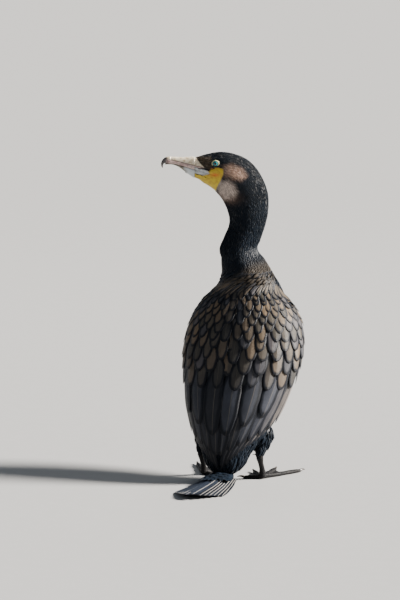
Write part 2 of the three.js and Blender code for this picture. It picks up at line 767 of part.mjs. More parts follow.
for (const [side, hand] of [["right", 1], ["left", -1]]) {
  const [ankle, foot] = [LEG.ankle, LEG.foot];
  const x = hand * LEG.x;
  const thigh = limb([
    [x * 0.86, -30, 96, 20],
    [x * 0.9, -34, 80, 24],
    [x * 0.95, -41, 64, 19],
    [x, ankle[0] + 3, ankle[1] + 6, 11],
    [x, ankle[0], ankle[1] + 1, 7.5],
  ]);
  const [thighEnd, tarsusEnd] = [ankle[1] + 1, foot[1] - 2];
  const belowThigh = blockBelow(x, ankle[0], thighEnd + GAP);
  addNode("thigh_" + side, thigh.subtract(torsoGrown).subtract(belowThigh), "gloss_black");
  const tarsus = limb(
    [
      [x, ankle[0], ankle[1] + 1, 6],
      [x, ankle[0] - 1, ankle[1] - 6, 6.4],
      [x, ankle[0] + 4, ankle[1] - 16, 4.8],
      [x, foot[0] - 3, foot[1] + 8, 4.8],
      [x, foot[0], foot[1] - 1, 6.2],
    ],
    SIDES.tarsus,
  );
  const aboveTarsus = blockAbove(x, ankle[0], thighEnd);
  const belowTarsus = blockBelow(x, ankle[0], tarsusEnd);
  const shank = tarsus.subtract(torsoGrown).subtract(aboveTarsus).subtract(belowTarsus);
  addNode("tarsus_" + side, shank, "leg");
  const joint = limb([
    [x, foot[0] - 1, tarsusEnd - GAP, 6.4],
    [x, foot[0], 4, 7.2],
    [x, foot[0], -2, 6],
  ]);
  const pieces = [joint, ...toes.map((toe) => toeForm(toe, hand))];
  for (let k = 0; k + 1 < toes.length; k++) pieces.push(webForm(toes[k], toes[k + 1], hand));
  const aboveFoot = blockAbove(x, 0, tarsusEnd - GAP);
  let footSolid = joined(pieces).subtract(aboveFoot).subtract(underFloor);
  for (const toe of toes) footSolid = footSolid.subtract(clawForm(toe, hand, GAP));
  addNode("foot_" + side, footSolid, "leg");
  for (const toe of toes) {
    addNode(`claw_${side}_${toe.name}`, clawForm(toe, hand, 0).subtract(underFloor), "claw");
  }
}

const cormorant = new THREE.Group();
parts.position.set(SHIFT.x, SHIFT.y, 0);
cormorant.add(parts);

export default cormorant;
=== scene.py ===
# %% [markdown]
# A great cormorant stands upright with its back to us and its head turned to the left.
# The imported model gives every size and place, and this script dresses it. One smooth skin
# takes the place of the fleshy parts, and solid feathers lie over it in the way that a
# bird's feathers do: hair-fine on the face, silky on the neck, broad and scaly on the wings.

# %% Load the frame
import math

import bmesh
import bpy
import numpy as np
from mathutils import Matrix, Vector
from mathutils.kdtree import KDTree


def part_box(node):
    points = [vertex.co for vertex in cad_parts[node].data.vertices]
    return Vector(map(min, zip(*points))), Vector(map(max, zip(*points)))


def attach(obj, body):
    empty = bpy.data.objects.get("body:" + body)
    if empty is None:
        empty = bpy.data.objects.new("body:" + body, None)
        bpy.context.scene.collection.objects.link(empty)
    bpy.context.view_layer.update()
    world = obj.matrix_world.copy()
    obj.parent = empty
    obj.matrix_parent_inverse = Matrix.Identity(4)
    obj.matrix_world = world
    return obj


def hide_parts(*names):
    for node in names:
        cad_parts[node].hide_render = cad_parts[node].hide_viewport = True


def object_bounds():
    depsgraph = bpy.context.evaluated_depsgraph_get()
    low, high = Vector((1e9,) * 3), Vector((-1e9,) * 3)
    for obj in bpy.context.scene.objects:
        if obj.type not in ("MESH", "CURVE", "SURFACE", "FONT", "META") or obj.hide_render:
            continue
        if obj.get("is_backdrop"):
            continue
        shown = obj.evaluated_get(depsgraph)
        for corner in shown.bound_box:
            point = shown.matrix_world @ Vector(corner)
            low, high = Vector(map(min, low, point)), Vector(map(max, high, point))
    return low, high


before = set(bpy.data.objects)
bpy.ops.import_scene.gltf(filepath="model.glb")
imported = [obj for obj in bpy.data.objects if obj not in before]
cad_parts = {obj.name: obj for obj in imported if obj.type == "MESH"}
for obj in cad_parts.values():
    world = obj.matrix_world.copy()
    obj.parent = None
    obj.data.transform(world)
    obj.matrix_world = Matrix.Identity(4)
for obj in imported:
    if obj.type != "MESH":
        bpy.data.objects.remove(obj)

plain_box = lambda box: [[float(value) for value in corner] for corner in box]
cad_box = plain_box(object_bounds())
print("the model's box in metres:", cad_box)

# %% [markdown]
# The bird is easiest to shape about its own axis, in millimetres, so all making is done
# there. These few helpers turn arrays of points into meshes. A closed tube is a row of
# rings, and each end is closed with a fan, so that no mesh is left open.

# %% Meshes from rings of points
SHIFT = np.array([17.2, 79.1, 0.0])  # the body's axis in the model's frame
rng = np.random.default_rng(11)


def smooth(value):
    value = np.clip(value, 0, 1)
    return value * value * (3 - 2 * value)


def new_object(name, points, faces, millimetres=True, closed=True):
    mesh = bpy.data.meshes.new(name)
    points = np.asarray(points, float).reshape(-1, 3)
    if millimetres:
        points = (points + SHIFT) / 1000
    mesh.from_pydata(points.tolist(), [], [list(map(int, face)) for face in faces])
    mesh.validate()
    mesh.shade_smooth()
    made = bpy.data.objects.new(name, mesh)
    bpy.context.scene.collection.objects.link(made)
    if closed:
        face_outwards(made)
    return made


def tube_faces(rings, sides):
    """Faces of a tube of rings, closed at both ends."""
    index = np.arange(rings * sides).reshape(rings, sides)
    beside = np.roll(index, -1, 1)
    walls = np.stack([index[:-1], beside[:-1], beside[1:], index[1:]], -1).reshape(-1, 4)
    return walls.tolist() + [index[0, ::-1].tolist(), index[-1].tolist()]


def circle(sides):
    """Angles all the way round."""
    return np.arange(sides) * 2 * math.pi / sides


def round_of(turn, first, second):
    """Directions at the angles turn, between two directions."""
    return np.cos(turn)[:, None] * first + np.sin(turn)[:, None] * second


def sheet_faces(rows, columns):
    """Faces of a closed sheet: a grid of points, a second grid under it and a rim."""
    index, under = np.arange(rows * columns).reshape(rows, columns), rows * columns
    upper = np.stack([index[:-1, :-1], index[:-1, 1:], index[1:, 1:], index[1:, :-1]], -1).reshape(-1, 4)
    rim = np.concatenate([index[0, :-1], index[:-1, -1], index[-1, :0:-1], index[:0:-1, 0]])
    rim_next = np.roll(rim, -1)
    walls = np.stack([rim_next, rim, rim + under, rim_next + under], -1)
    return np.concatenate([upper, upper[:, ::-1] + under, walls])


def joined(parts):
    """Points and faces of several closed parts, as one mesh."""
    points, faces, first = [], [], 0
    for part, part_faces in parts:
        points.append(part.reshape(-1, 3))
        faces += [tuple(first + i for i in face) for face in part_faces]
        first += len(points[-1])
    return np.concatenate(points), faces


def face_outwards(made):
    work = bmesh.new()
    work.from_mesh(made.data)
    bmesh.ops.recalc_face_normals(work, faces=work.faces)
    work.to_mesh(made.data)
    work.free()


def with_modifiers_applied(made):
    graph = bpy.context.evaluated_depsgraph_get()
    mesh = bpy.data.meshes.new_from_object(
        made.evaluated_get(graph), preserve_all_data_layers=True, depsgraph=graph
    )
    made.modifiers.clear()
    made.data = mesh
    mesh.shade_smooth()
    return made


# %% [markdown]
# The camera looks at the back a little from above, turned twenty degrees, and from far off
# with a long lens, as a bird is photographed. The frame is tied to the body's axis by one
# point and by the scale of the picture.

# %% Camera
AZIMUTH, ELEVATION, AWAY = math.radians(20), math.radians(8), 6.0
SENSOR = 36  # millimetres high
FRAME_HIGH = 1.05  # metres of the bird's surroundings from bottom to top of the picture
towards_camera = Vector(
    (math.sin(AZIMUTH) * math.cos(ELEVATION), -math.cos(AZIMUTH) * math.cos(ELEVATION), math.sin(ELEVATION))
)
camera_turn = towards_camera.to_track_quat("Z", "Y")
picture_right = camera_turn @ Vector((1, 0, 0))
picture_up = camera_turn @ Vector((0, 1, 0))
AIM_RIGHT, AIM_UP = -0.070, 0.303  # from the body's axis on the floor to the picture's middle
aim = Vector(SHIFT / 1000) + AIM_RIGHT * picture_right + AIM_UP * picture_up
camera = bpy.data.objects.new("camera", bpy.data.cameras.new("camera"))
bpy.context.scene.collection.objects.link(camera)
camera.location = aim + AWAY * towards_camera
camera.rotation_euler = camera_turn.to_euler()
camera.data.sensor_fit = "VERTICAL"
camera.data.sensor_height = SENSOR
camera.data.lens = SENSOR * AWAY / FRAME_HIGH
camera.data.clip_end = 200
bpy.context.scene.camera = camera
print("camera", round(camera.location.z, 2), "m up, lens", round(camera.data.lens), "mm")

# %% [markdown]
# The spine is a list of rings from the vent to the base of the bill, the same ones that the
# solids were lofted from. A point of the skin is found from its place along the spine and
# its angle round it, so a feather can be set anywhere on the bird by two numbers.

# %% The spine and its rings
HEAD_TURN, NECK_DEPTH = 200, 42  # degrees from the right side, and millimetres from the axis
bill_way = np.array([math.cos(math.radians(HEAD_TURN)), math.sin(math.radians(HEAD_TURN)), 0.0])
head_side = np.array([-bill_way[1], bill_way[0], 0.0])
neck_root = -head_side * NECK_DEPTH


def head_point(along, up, across=0.0):
    along, up, across = np.broadcast_arrays(*map(np.asarray, (along, up, across)))
    level = along[..., None] * bill_way + across[..., None] * head_side + neck_root
    return level + up[..., None] * np.array([0, 0, 1.0])


def body_ring(y, up, side, front, back):
    return [0.0, y, up, 90, 0, side, front, back]


def neck_ring(along, up, turn, tilt, side, front, back):
    return [*head_point(along, up).tolist(), turn, tilt, side, front, back]


STATIONS = np.array([
    body_ring(-80, 15, 12, 8, 10),
    body_ring(-79, 19, 24, 14, 20),
    body_ring(-75, 32, 37, 22, 30),
    body_ring(-67, 54, 48, 34, 40),
    body_ring(-50, 85, 66, 54, 54),
    body_ring(-26, 130, 86, 72, 66),
    body_ring(0, 180, 98, 78, 72),
    body_ring(18, 224, 101, 78, 72),
    body_ring(30, 262, 95, 70, 66),
    body_ring(38, 296, 79, 60, 56),
    body_ring(43, 318, 62, 52, 49),
    neck_ring(-14, 338, 118, 0, 50, 48, 49),
    neck_ring(-10, 356, 160, 0, 42, 44, 46),
    neck_ring(-3, 374, 190, 0, 36, 37, 40),
    neck_ring(2, 392, HEAD_TURN, 2, 32, 34, 34),
    neck_ring(-5, 412, HEAD_TURN, 3, 30, 33, 33),
    neck_ring(-12.5, 434, HEAD_TURN, 0, 29, 33, 33),
    neck_ring(-14, 455, HEAD_TURN, -3, 29, 36, 36),
    neck_ring(-9, 482, HEAD_TURN, -10, 29, 41, 41),
    neck_ring(4, 506, HEAD_TURN, -20, 28, 43, 43),
    neck_ring(19, 523, HEAD_TURN, -32, 26.5, 43, 41),
    neck_ring(36, 532, HEAD_TURN, -43, 24, 39, 36.5),
    neck_ring(53, 537, HEAD_TURN, -53, 19.5, 32, 29.5),
    neck_ring(70, 539, HEAD_TURN, -62, 14, 26.5, 19.5),
    neck_ring(81, 538.5, HEAD_TURN, -66, 11, 23, 15),
    neck_ring(94, 538, HEAD_TURN, -70, 9, 17, 13),
])
LAST = len(STATIONS) - 1


def between(place, column):
    """A column of the stations at places between them, on a smooth curve."""
    values = STATIONS[:, column]
    i = np.clip(np.floor(place).astype(int), 0, LAST - 1)
    f = place - i
    p0, p1, p2, p3 = (values[np.clip(i + k, 0, LAST)] for k in (-1, 0, 1, 2))
    slope1, slope2 = (p2 - p0) / 2, (p3 - p1) / 2
    rise = 3 * f**2 - 2 * f**3
    return p1 * (1 - rise) + slope1 * (f**3 - 2 * f**2 + f) + p2 * rise + slope2 * (f**3 - f**2)


def skin_point(place, angle):
    """angle 0 is the right side, 90 the front and 270 the back, in degrees."""
    place, angle = np.broadcast_arrays(np.asarray(place, float), np.asarray(angle, float))
    x, y, up, turn, tilt, half, front, back = (between(place, k) for k in range(8))
    turn, tilt, angle = np.radians([turn, tilt, angle])
    forwards = np.stack([np.cos(turn) * np.cos(tilt), np.sin(turn) * np.cos(tilt), np.sin(tilt)], -1)
    sideways = np.stack([np.sin(turn), -np.cos(turn), 0 * turn], -1)
    c, s = np.cos(angle), np.sin(angle)
    reach = s * np.where(s > 0, front, back)
    return np.stack([x, y, up], -1) + (c * half)[..., None] * sideways + reach[..., None] * forwards


def round_back(angle):
    """Degrees round the body from the middle of the back, below 0 on the left side."""
    return (angle - 90) % 360 - 180


def off_back(angle):
    return np.abs(round_back(angle))


def unit(vectors):
    return vectors / np.maximum(np.linalg.norm(vectors, axis=-1, keepdims=True), 1e-9)


def skin_normal(place, angle):
    round_ = skin_point(place, angle + 0.5) - skin_point(place, angle - 0.5)
    along = skin_point(place + 0.02, angle) - skin_point(place - 0.02, angle)
    return unit(np.cross(round_, along))


heights = np.linspace(0, 13.4, 700)
heights_up = between(heights, 2)


def body_point(up, round_, height, hand):
    """On the trunk: up is a height, round_ the angle from the middle of the back."""
    place = np.interp(up, heights_up, heights)
    angle = 270 + hand * round_
    return skin_point(place, angle) + skin_normal(place, angle) * np.asarray(height)[..., None]


print("the spine has", len(STATIONS), "rings, and the crown is near", float(STATIONS[:, 2].max()), "mm")

# %% [markdown]
# Under its feathers a folded wing is a flat, fleshy bulge. It could be a piece of its own,
# but a seam would show between the feathers, so the skin itself swells there. The front
# edge of the wing is given by its angle round the body at each height.

# %% The bulge of the folded wings
EDGE_UP = [28, 40, 66, 100, 130, 180, 230, 270, 300, 322]
EDGE_ROUND = [14, 44, 70, 96, 108, 116, 120, 116, 98, 66]
COAT = {"body": 2.6, "neck": 1.8, "head": 0.9}  # how deep the skin lies under the solids


def wing_edge(up):
    return np.interp(up, EDGE_UP, EDGE_ROUND)


def wing_thick(up):
    return 1.4 + 5.4 * smooth((up - 104) / 110) * (1 - 0.6 * smooth((up - 270) / 50))


def wing_bulge(up, round_):
    spread = (0.5 + 0.5 * smooth(round_ / 9)) * smooth((wing_edge(up) - round_) / 12)
    return spread * smooth((up - 92) / 24) * smooth((332 - up) / 22) * wing_thick(up)


def relief(place, angle):
    """How far the skin stands off the solids' own surface, in millimetres."""
    depth = COAT["body"] + (COAT["neck"] - COAT["body"]) * smooth((place - 10) / 3)
    depth = depth + (COAT["head"] - COAT["neck"]) * smooth((place - 18) / 2)
    round_ = off_back(angle)
    return -depth + wing_bulge(between(place, 2), round_) * (place < 12)


# %% [markdown]
# The head carries what names the bird: the line of the mouth that runs back under the eye,
# bare skin before the eye and under the throat, and a shallow socket. They are pressed into
# the same skin. The bare places are outlines in the head's own plane, with a soft edge.

# %% Marks of the face
EYE = [42.9, 541.5]  # along the head and up, as all that follows
BILL_FROM = 79  # where the bill takes over from the skin
GAPE_FLESH = [44, 522]  # the orange middle of the bare yellow skin
MOUTH = np.array([[44, 521.5], [56, 524.5], [70, 528], [84, 531.5], [98, 535.5], [112, 539], [124, 540.5],
                  [136, 541]])
BARE_THROAT = np.array([[88, 530], [67.5, 526], [58, 528], [55, 531], [50, 534], [38, 534.5], [29.8, 533],
                        [29.8, 524], [34, 513.6], [41.4, 499], [43, 492], [56, 496], [70, 506], [88, 516]])
BARE_JAW = np.array([[96, 536], [84, 535.5], [74, 533.5], [56, 528.5], [53, 523.5], [64.7, 520], [82, 524],
                     [96, 528]])
BILL_FOOT = np.array([[96, 556], [80, 553.5], [75, 548], [69, 540.5], [62, 533.5], [72, 533.4], [84, 536.5],
                      [96, 538]])
LORE = np.array([[84, 557], [70, 551], [56, 552], [50, 546], [50, 537], [56, 531], [66, 537], [76, 550]])
WHITE_THROAT = np.array([[40, 504], [34, 512], [24, 514], [12, 507],
                         [7, 495], [13, 484], [28, 481], [38, 490]])
PALE_CHEEK = np.array([[31, 537], [29, 522], [18, 518], [2, 516], [-8, 523], [0, 533], [17, 540]])


def line_distance(point, line, closed=False):
    """How far points are from a bent line."""
    ends = np.roll(line, -1, 0) if closed else line[1:]
    best = np.full(point.shape[:-1], 1e9)
    for a, b in zip(line, ends):
        way = b - a
        share = np.clip(((point - a) @ way) / (way @ way), 0, 1)
        best = np.minimum(best, np.linalg.norm(point - a - share[..., None] * way, axis=-1))
    return best


def inside(point, outline, soft=1.5):
    """1 inside an outline, 0 outside it, with a soft edge."""
    odd = np.zeros(point.shape[:-1], bool)
    for a, b in zip(outline, np.roll(outline, -1, 0)):
        if a[1] == b[1]:
            continue
        crosses = (a[1] > point[..., 1]) != (b[1] > point[..., 1])
        at = a[0] + (point[..., 1] - a[1]) * (b[0] - a[0]) / (b[1] - a[1])
        odd ^= crosses & (point[..., 0] < at)
    distance = line_distance(point, outline, True)
    return smooth(0.5 + np.where(odd, distance, -distance) / (2 * soft))


def head_plane(points):
    """Points of the bird as along, up and across in the head's own plane."""
    level = points - neck_root
    return np.stack([level @ bill_way, points[..., 2]], -1), level @ head_side


def face_relief(points, place):
    profile, across = head_plane(points)
    on_head = place > 19
    groove = -0.9 * np.exp(-((line_distance(profile, MOUTH) / 1.1) ** 2))
    socket = -1.6 * spot(profile, EYE, 7.5)
    brow = 0.9 * spot(profile, [45, 550], [11, 2.4])
    into_bill = -2.8 * smooth((profile[..., 0] - BILL_FROM) / 6)
    return on_head * ((groove + socket + brow) * smooth((np.abs(across) - 3) / 5) + into_bill)


def spot(profile, middle, spread):
    """1 at a spot of the head's plane, fading out round it."""
    return np.exp(-(np.linalg.norm((profile - middle) / spread, axis=-1) ** 2))


def in_skin_frame(made_points):
    return np.asarray(made_points) * 1000 - SHIFT


# %% [markdown]
# Now the skin itself. Its rings are closest on the head, where the detail is. The thighs are
# short drumsticks, and a Boolean union fuses them to the trunk, so that the whole is one
# closed surface. Every corner of the skin then learns its place on the spine, the way that
# feathers lie there, and its place on a flat pattern of the skin.

# %% The skin
SIDES = 176
places = np.concatenate([np.linspace(0, 12, 110)[:-1], np.linspace(12, 18, 70)[:-1],
                         np.linspace(18, LAST - 0.3, 170)])
angles = np.arange(SIDES) * 360 / SIDES
P, A = np.meshgrid(places, angles, indexing="ij")
base = skin_point(P, A)
skin_points = base + skin_normal(P, A) * (relief(P, A) + face_relief(base, P))[..., None]
skin_points[:2] += (np.array([0, -80, 17]) - skin_points[:2]) * np.array([0.55, 0.2])[:, None, None]
trunk = new_object("skin", skin_points, tube_faces(len(places), SIDES))


def limb_points(line, sides, rings, swell=None):
    """Rings of a round limb through rows of x, y, z and radius."""
    line = np.asarray(line, float)
    steps = np.linspace(0, len(line) - 1, rings)
    rows = np.stack([np.interp(steps, range(len(line)), line[:, k]) for k in range(4)], -1)
    kernel = np.array([1, 2, 1]) / 4
    for _ in range(2):
        rows[1:-1] = sum(w * rows[1 + d:len(rows) - 1 + d] for w, d in zip(kernel, (-1, 0, 1)))
    way = unit(np.gradient(rows[:, :3], axis=0))
    hint = np.where(np.abs(way[:, 2:3]) > 0.8, [[0, 1.0, 0]], [[0, 0, 1.0]])
    side = unit(np.cross(way, hint))
    over = np.cross(side, way)
    turn = circle(sides)
    radius = rows[:, 3:4] * np.ones((1, sides))
    if swell is not None:
        radius = radius * swell(np.linspace(0, 1, rings)[:, None], turn[None])
    return rows[:, None, :3] + radius[..., None] * round_of(turn, side[:, None], over[:, None])


LEG_X, ANKLE, FOOT = 54, (-50, 46), (-36, 11)
thigh_lines = {}
for side_name, hand in (("right", 1), ("left", -1)):
    x = hand * LEG_X
    thigh_lines[hand] = np.array([
        [x * 0.86, -30, 100, 16], [x * 0.9, -34, 80, 22], [x * 0.95, -41, 64, 17.4],
        [x, ANKLE[0] + 3, ANKLE[1] + 8, 9.6], [x, ANKLE[0], ANKLE[1] + 1.5, 6.6],
    ])
    thigh = new_object("thigh_" + side_name, limb_points(thigh_lines[hand], 36, 34), tube_faces(34, 36))
    union = trunk.modifiers.new("union", "BOOLEAN")
    union.operation, union.solver, union.object = "UNION", "EXACT", thigh
    with_modifiers_applied(trunk)
    bpy.data.objects.remove(thigh)
skin = trunk
print("skin:", len(skin.data.vertices), "points")

# %% What the skin knows about itself
count = len(skin.data.vertices)
corner_points = np.empty(count * 3)
skin.data.vertices.foreach_get("co", corner_points)
skin_xyz = in_skin_frame(corner_points.reshape(-1, 3))
tree = KDTree(P.size)
for index, point in enumerate(skin_points.reshape(-1, 3)):
    tree.insert(point, index)
tree.balance()
found = [tree.find(point) for point in skin_xyz.tolist()]
nearest = np.array([hit[1] for hit in found])
off_trunk = np.array([hit[2] for hit in found])
skin_place, skin_angle = P.ravel()[nearest], A.ravel()[nearest]
on_thigh = smooth((off_trunk - 2.5) / 3)
lie = unit(skin_point(skin_place - 0.05, skin_angle) - skin_point(skin_place + 0.05, skin_angle))
lie = unit(lie + on_thigh[:, None] * np.array([0, -0.5, -1.6]))

spine_step = np.linalg.norm(np.diff(np.stack([between(places, k) for k in (0, 1, 2)], -1), axis=0), axis=1)
spine_length = np.concatenate([[0], np.cumsum(spine_step)])
around = np.linalg.norm(np.diff(base, axis=1, append=base[:, :1]), axis=2).sum(1)
PATTERN = spine_length[-1] * 1.04  # millimetres that the flat pattern is across
BACK_LINE, PATTERN_FOOT = 0.38, 0.01  # where the middle of the back and the vent lie on it
PATCH = 0.003  # how wide one feather's own patch on it is


def pattern_place(place, turn):
    """Where the skin lies on its flat pattern. turn is a share of a round, from the back."""
    u = BACK_LINE + turn * np.interp(place, places, around) / PATTERN
    return np.stack([u, PATTERN_FOOT + np.interp(place, places, spine_length) / PATTERN], -1)


def thigh_pattern(points):
    """The thighs lie apart on the pattern, beside the trunk."""
    hand = np.sign(points[:, 0])
    turn = np.arctan2(points[:, 0] - hand * LEG_X * 0.92, points[:, 1] + 38) / (2 * math.pi)
    return np.stack([0.88 + turn * 0.16, 0.08 + (hand > 0) * 0.16 + points[:, 2] / PATTERN], -1)


loops = len(skin.data.loops)
loop_vertex = np.empty(loops, int)
skin.data.loops.foreach_get("vertex_index", loop_vertex)
loop_face = np.repeat(np.arange(len(skin.data.polygons)), [p.loop_total for p in skin.data.polygons])
loop_angle = skin_angle[loop_vertex]
first_of_face = loop_angle[np.searchsorted(loop_face, loop_face)]
loop_angle = first_of_face + (loop_angle - first_of_face + 180) % 360 - 180
turn_loop = (round_back(first_of_face) + loop_angle - first_of_face) / 360
pattern = pattern_place(skin_place[loop_vertex], turn_loop)
thigh_loop = on_thigh[loop_vertex] > 0.5
pattern[thigh_loop] = thigh_pattern(skin_xyz[loop_vertex])[thigh_loop]
for name in ("OFBake", "pattern"):
    layer = skin.data.uv_layers.new(name=name)
    layer.data.foreach_set("uv", pattern.ravel())
print("the flat pattern spans", pattern.min(0).round(2), "to", pattern.max(0).round(2))

# %% [markdown]
# A grown cormorant is blue-black with a bronze wash on the wings. Outside the breeding
# season its throat is whitish behind the bare yellow skin, and pale hair-feathers grizzle
# the crown and the nape. Skin and feathers have to agree, so one function gives the colour
# at a place, and both carry it as an attribute.

# %% The markings
BLUE_BLACK = np.array([0.0042, 0.0070, 0.0115])
BRONZE = np.array([0.078, 0.062, 0.046])
SLATE = np.array([0.0105, 0.0135, 0.0205])
WHITISH = np.array([0.58, 0.48, 0.42])
TAN = np.array([0.38, 0.245, 0.18])
LORE_BROWN = np.array([0.062, 0.046, 0.030])


def plumage(points, place, angle):
    """Colour, and the share of pale feathers among the dark ones."""
    profile, across = head_plane(points)
    on_head = smooth((place - 17) / 1.0)
    white = inside(profile, WHITE_THROAT, 6) * on_head
    cheek = inside(profile, PALE_CHEEK, 7) * on_head
    rosy = spot(profile, [20, 484], [16, 9]) * on_head
    colour = np.broadcast_to(BLUE_BLACK, points.shape).copy()
    lore = inside(profile, LORE, 2) * on_head
    from_back = off_back(angle)
    mantle = smooth((13.6 - place) / 1.4) * smooth((place - 8.5) / 1.5) * smooth((80 - from_back) / 40)
    colour += (BRONZE * 0.55 - colour) * (0.8 * mantle)[..., None]
    colour += (LORE_BROWN - colour) * lore[..., None]
    colour += (TAN - colour) * np.maximum(0.80 * cheek, 0.35 * rosy)[..., None]
    colour += (WHITISH - colour) * (0.85 * white)[..., None]
    crown = smooth((place - 16.5) / 2) * smooth((75 - from_back) / 40)
    grizzle = 0.15 * crown + 0.18 * lore + 0.3 * cheek
    return colour, grizzle


def store(made, name, values, kind):
    values = np.asarray(values, float)
    if kind == "FLOAT_COLOR":
        values = np.concatenate([values, np.ones(values.shape[:-1] + (1,))], -1)
    field = {"FLOAT": "value", "FLOAT_VECTOR": "vector", "FLOAT_COLOR": "color"}[kind]
    made.data.attributes.new(name, kind, "POINT").data.foreach_set(field, values.ravel())


skin_profile, skin_across = head_plane(skin_xyz)
side_face = smooth((np.abs(skin_across) - 2) / 4)
on_face = (skin_place > 18.5) * 1.0
throat_skin = inside(skin_profile, BARE_THROAT) * on_face
jaw_skin = inside(skin_profile, BARE_JAW) * on_face * side_face
horn_skin = inside(skin_profile, BILL_FOOT, 0.8) * on_face
throat_skin = throat_skin * (1 - jaw_skin)
from_eye = np.linalg.norm(skin_profile - EYE, axis=-1)
round_eye = on_face * smooth((8.6 - from_eye) / 1.2)
under_bill = on_face * smooth((skin_profile[:, 0] - BILL_FROM) / 2)
bare = np.max([throat_skin, jaw_skin, horn_skin, round_eye, under_bill], axis=0)
marking, grizzle = plumage(skin_xyz, skin_place, skin_angle)
skin_up = skin_xyz[:, 2]
skin_round = off_back(skin_angle)
hem = 5 + 13 * smooth((125 - skin_up) / 40)  # the wing's lower edge stands off the body
off_edge = wing_edge(skin_up) - hem - skin_round
under_wing = (skin_place < 11.6) * smooth(off_edge / 5) * smooth((skin_up - 70) / 20)
under_wing = under_wing * smooth((322 - skin_up) / 6) * (1 - on_thigh)
coat_masks = {
    "head": smooth((skin_place - 17.3) / 0.4) * (1 - bare),
    "upper_neck": smooth((skin_place - 15.4) / 0.3) * smooth((17.9 - skin_place) / 0.4),
    "lower_neck": smooth((skin_place - 11.0) / 0.8) * smooth((15.9 - skin_place) / 0.3),
    "breast": (smooth((12.0 - skin_place) / 0.4) * (1 - under_wing) * smooth((skin_up - 16) / 6)
               * (1 - on_thigh)),
    "thighs": on_thigh * smooth((skin_up - 48) / 4),
}
store(skin, "marking", marking, "FLOAT_COLOR")
store(skin, "grizzle", grizzle, "FLOAT")
store(skin, "lie", lie, "FLOAT_VECTOR")
store(skin, "throat_skin", throat_skin, "FLOAT")
at_gape, under_eye = spot(skin_profile, GAPE_FLESH, [9, 3.2]), spot(skin_profile, [50, 533.5], [6, 1.4])
store(skin, "orange", on_face * np.maximum(0.85 * at_gape, 0.9 * under_eye), "FLOAT")
store(skin, "jaw_skin", jaw_skin, "FLOAT")
store(skin, "horn_skin", horn_skin, "FLOAT")
for name, mask in coat_masks.items():
    store(skin, "on_" + name, mask, "FLOAT")
    print(name, "feathers over", round(float(mask.mean() * 100)), "per cent of the skin's points")

# %% [markdown]
# Shaders are built from small nodes. Short helpers keep that readable: they add a node with
# its values and links, do arithmetic, read an attribute or mix two colours. What several
# finishes share is a group: one feather's shaft, its dark margin and its fine barbs.

# %% Helpers for shaders
def feed(tree, node, **inputs):
    """Links or sets inputs: n0, n1 and so on by number, others by name with _ for a space."""
    for name, value in inputs.items():
        numbered = name[0] == "n" and name[1:].isdigit()
        socket = node.inputs[int(name[1:]) if numbered else name.replace("_", " ")]
        if isinstance(value, bpy.types.NodeSocket):
            tree.links.new(value, socket)
        else:
            socket.default_value = (*value, 1.0) if socket.type == "RGBA" else value
    return node


def put(tree, kind, props=None, **inputs):
    made = tree.nodes.new(kind)
    for name, value in (props or {}).items():
        setattr(made, name, value)
    return feed(tree, made, **inputs)


def read(tree, name, output="Fac"):
    return put(tree, "ShaderNodeAttribute", {"attribute_name": name}).outputs[output]


def noise(tree, scale, detail=2.0):
    place = put(tree, "ShaderNodeTexCoord").outputs["Object"]
    return put(tree, "ShaderNodeTexNoise", Vector=place, Scale=scale, Detail=detail).outputs[0]


def bumped(tree, shader, height, strength, distance):
    bump = put(tree, "ShaderNodeBump", Height=height, Strength=strength, Distance=distance)
    feed(tree, shader, Normal=bump.outputs[0])


def calc(tree, operation, *values):
    inputs = {f"n{i}": value for i, value in enumerate(values)}
    return put(tree, "ShaderNodeMath", {"operation": operation}, **inputs).outputs[0]


def times(tree, first, second):
    return calc(tree, "MULTIPLY", first, second)


def fit(tree, value, scale, shift):
    return calc(tree, "MULTIPLY_ADD", value, scale, shift)


def rest(tree, value):
    return calc(tree, "SUBTRACT", 1.0, value)


def ramp(tree, value, low, high):
    """0 below low, 1 above high, smooth between."""
    return put(tree, "ShaderNodeMapRange", {"interpolation_type": "SMOOTHSTEP"},
               Value=value, From_Min=low, From_Max=high).outputs[0]


def blend(tree, factor, first, second):
    return put(tree, "ShaderNodeMix", {"data_type": "RGBA"}, n0=factor, n6=first, n7=second).outputs[2]


def fade(tree, value, low, high, first, second):
    """From one colour to another while a value goes from low to high."""
    return blend(tree, ramp(tree, value, low, high), first, second)


def new_group(name, ins, outs):
    made = bpy.data.node_groups.new(name, "ShaderNodeTree")
    for socket, kind in ins:
        made.interface.new_socket(name=socket, in_out="INPUT", socket_type="NodeSocket" + kind)
    for socket, kind in outs:
        made.interface.new_socket(name=socket, in_out="OUTPUT", socket_type="NodeSocket" + kind)
    return made, made.nodes.new("NodeGroupInput"), made.nodes.new("NodeGroupOutput")


# %% The look of one feather
vane_look, vane_in, vane_out = new_group(
    "vane look",
    [("Shaft Width", "Float"), ("Margin Width", "Float"), ("Barb Pitch", "Float")],
    [("Shaft", "Float"), ("Margin", "Float"), ("Barbs", "Float")],
)
blade = put(vane_look, "ShaderNodeUVMap", {"uv_map": "blade"})
split = put(vane_look, "ShaderNodeSeparateXYZ", Vector=blade.outputs[0])
across = calc(vane_look, "ABSOLUTE", fit(vane_look, split.outputs[0], 2.0, -1.0))
shaft_low = times(vane_look, vane_in.outputs["Shaft Width"], 0.45)
shaft = rest(vane_look, ramp(vane_look, across, shaft_low, vane_in.outputs["Shaft Width"]))
edge = read(vane_look, "edge")
wander = noise(vane_look, 300.0)
edge = calc(vane_look, "ADD", edge, fit(vane_look, wander, 1.6, -0.8))
solid = times(vane_look, vane_in.outputs["Margin Width"], 0.65)
margin = rest(vane_look, ramp(vane_look, edge, solid, times(vane_look, solid, 2.0)))
phase = times(vane_look, calc(vane_look, "DIVIDE", read(vane_look, "barb"), vane_in.outputs["Barb Pitch"]),
              6.283)
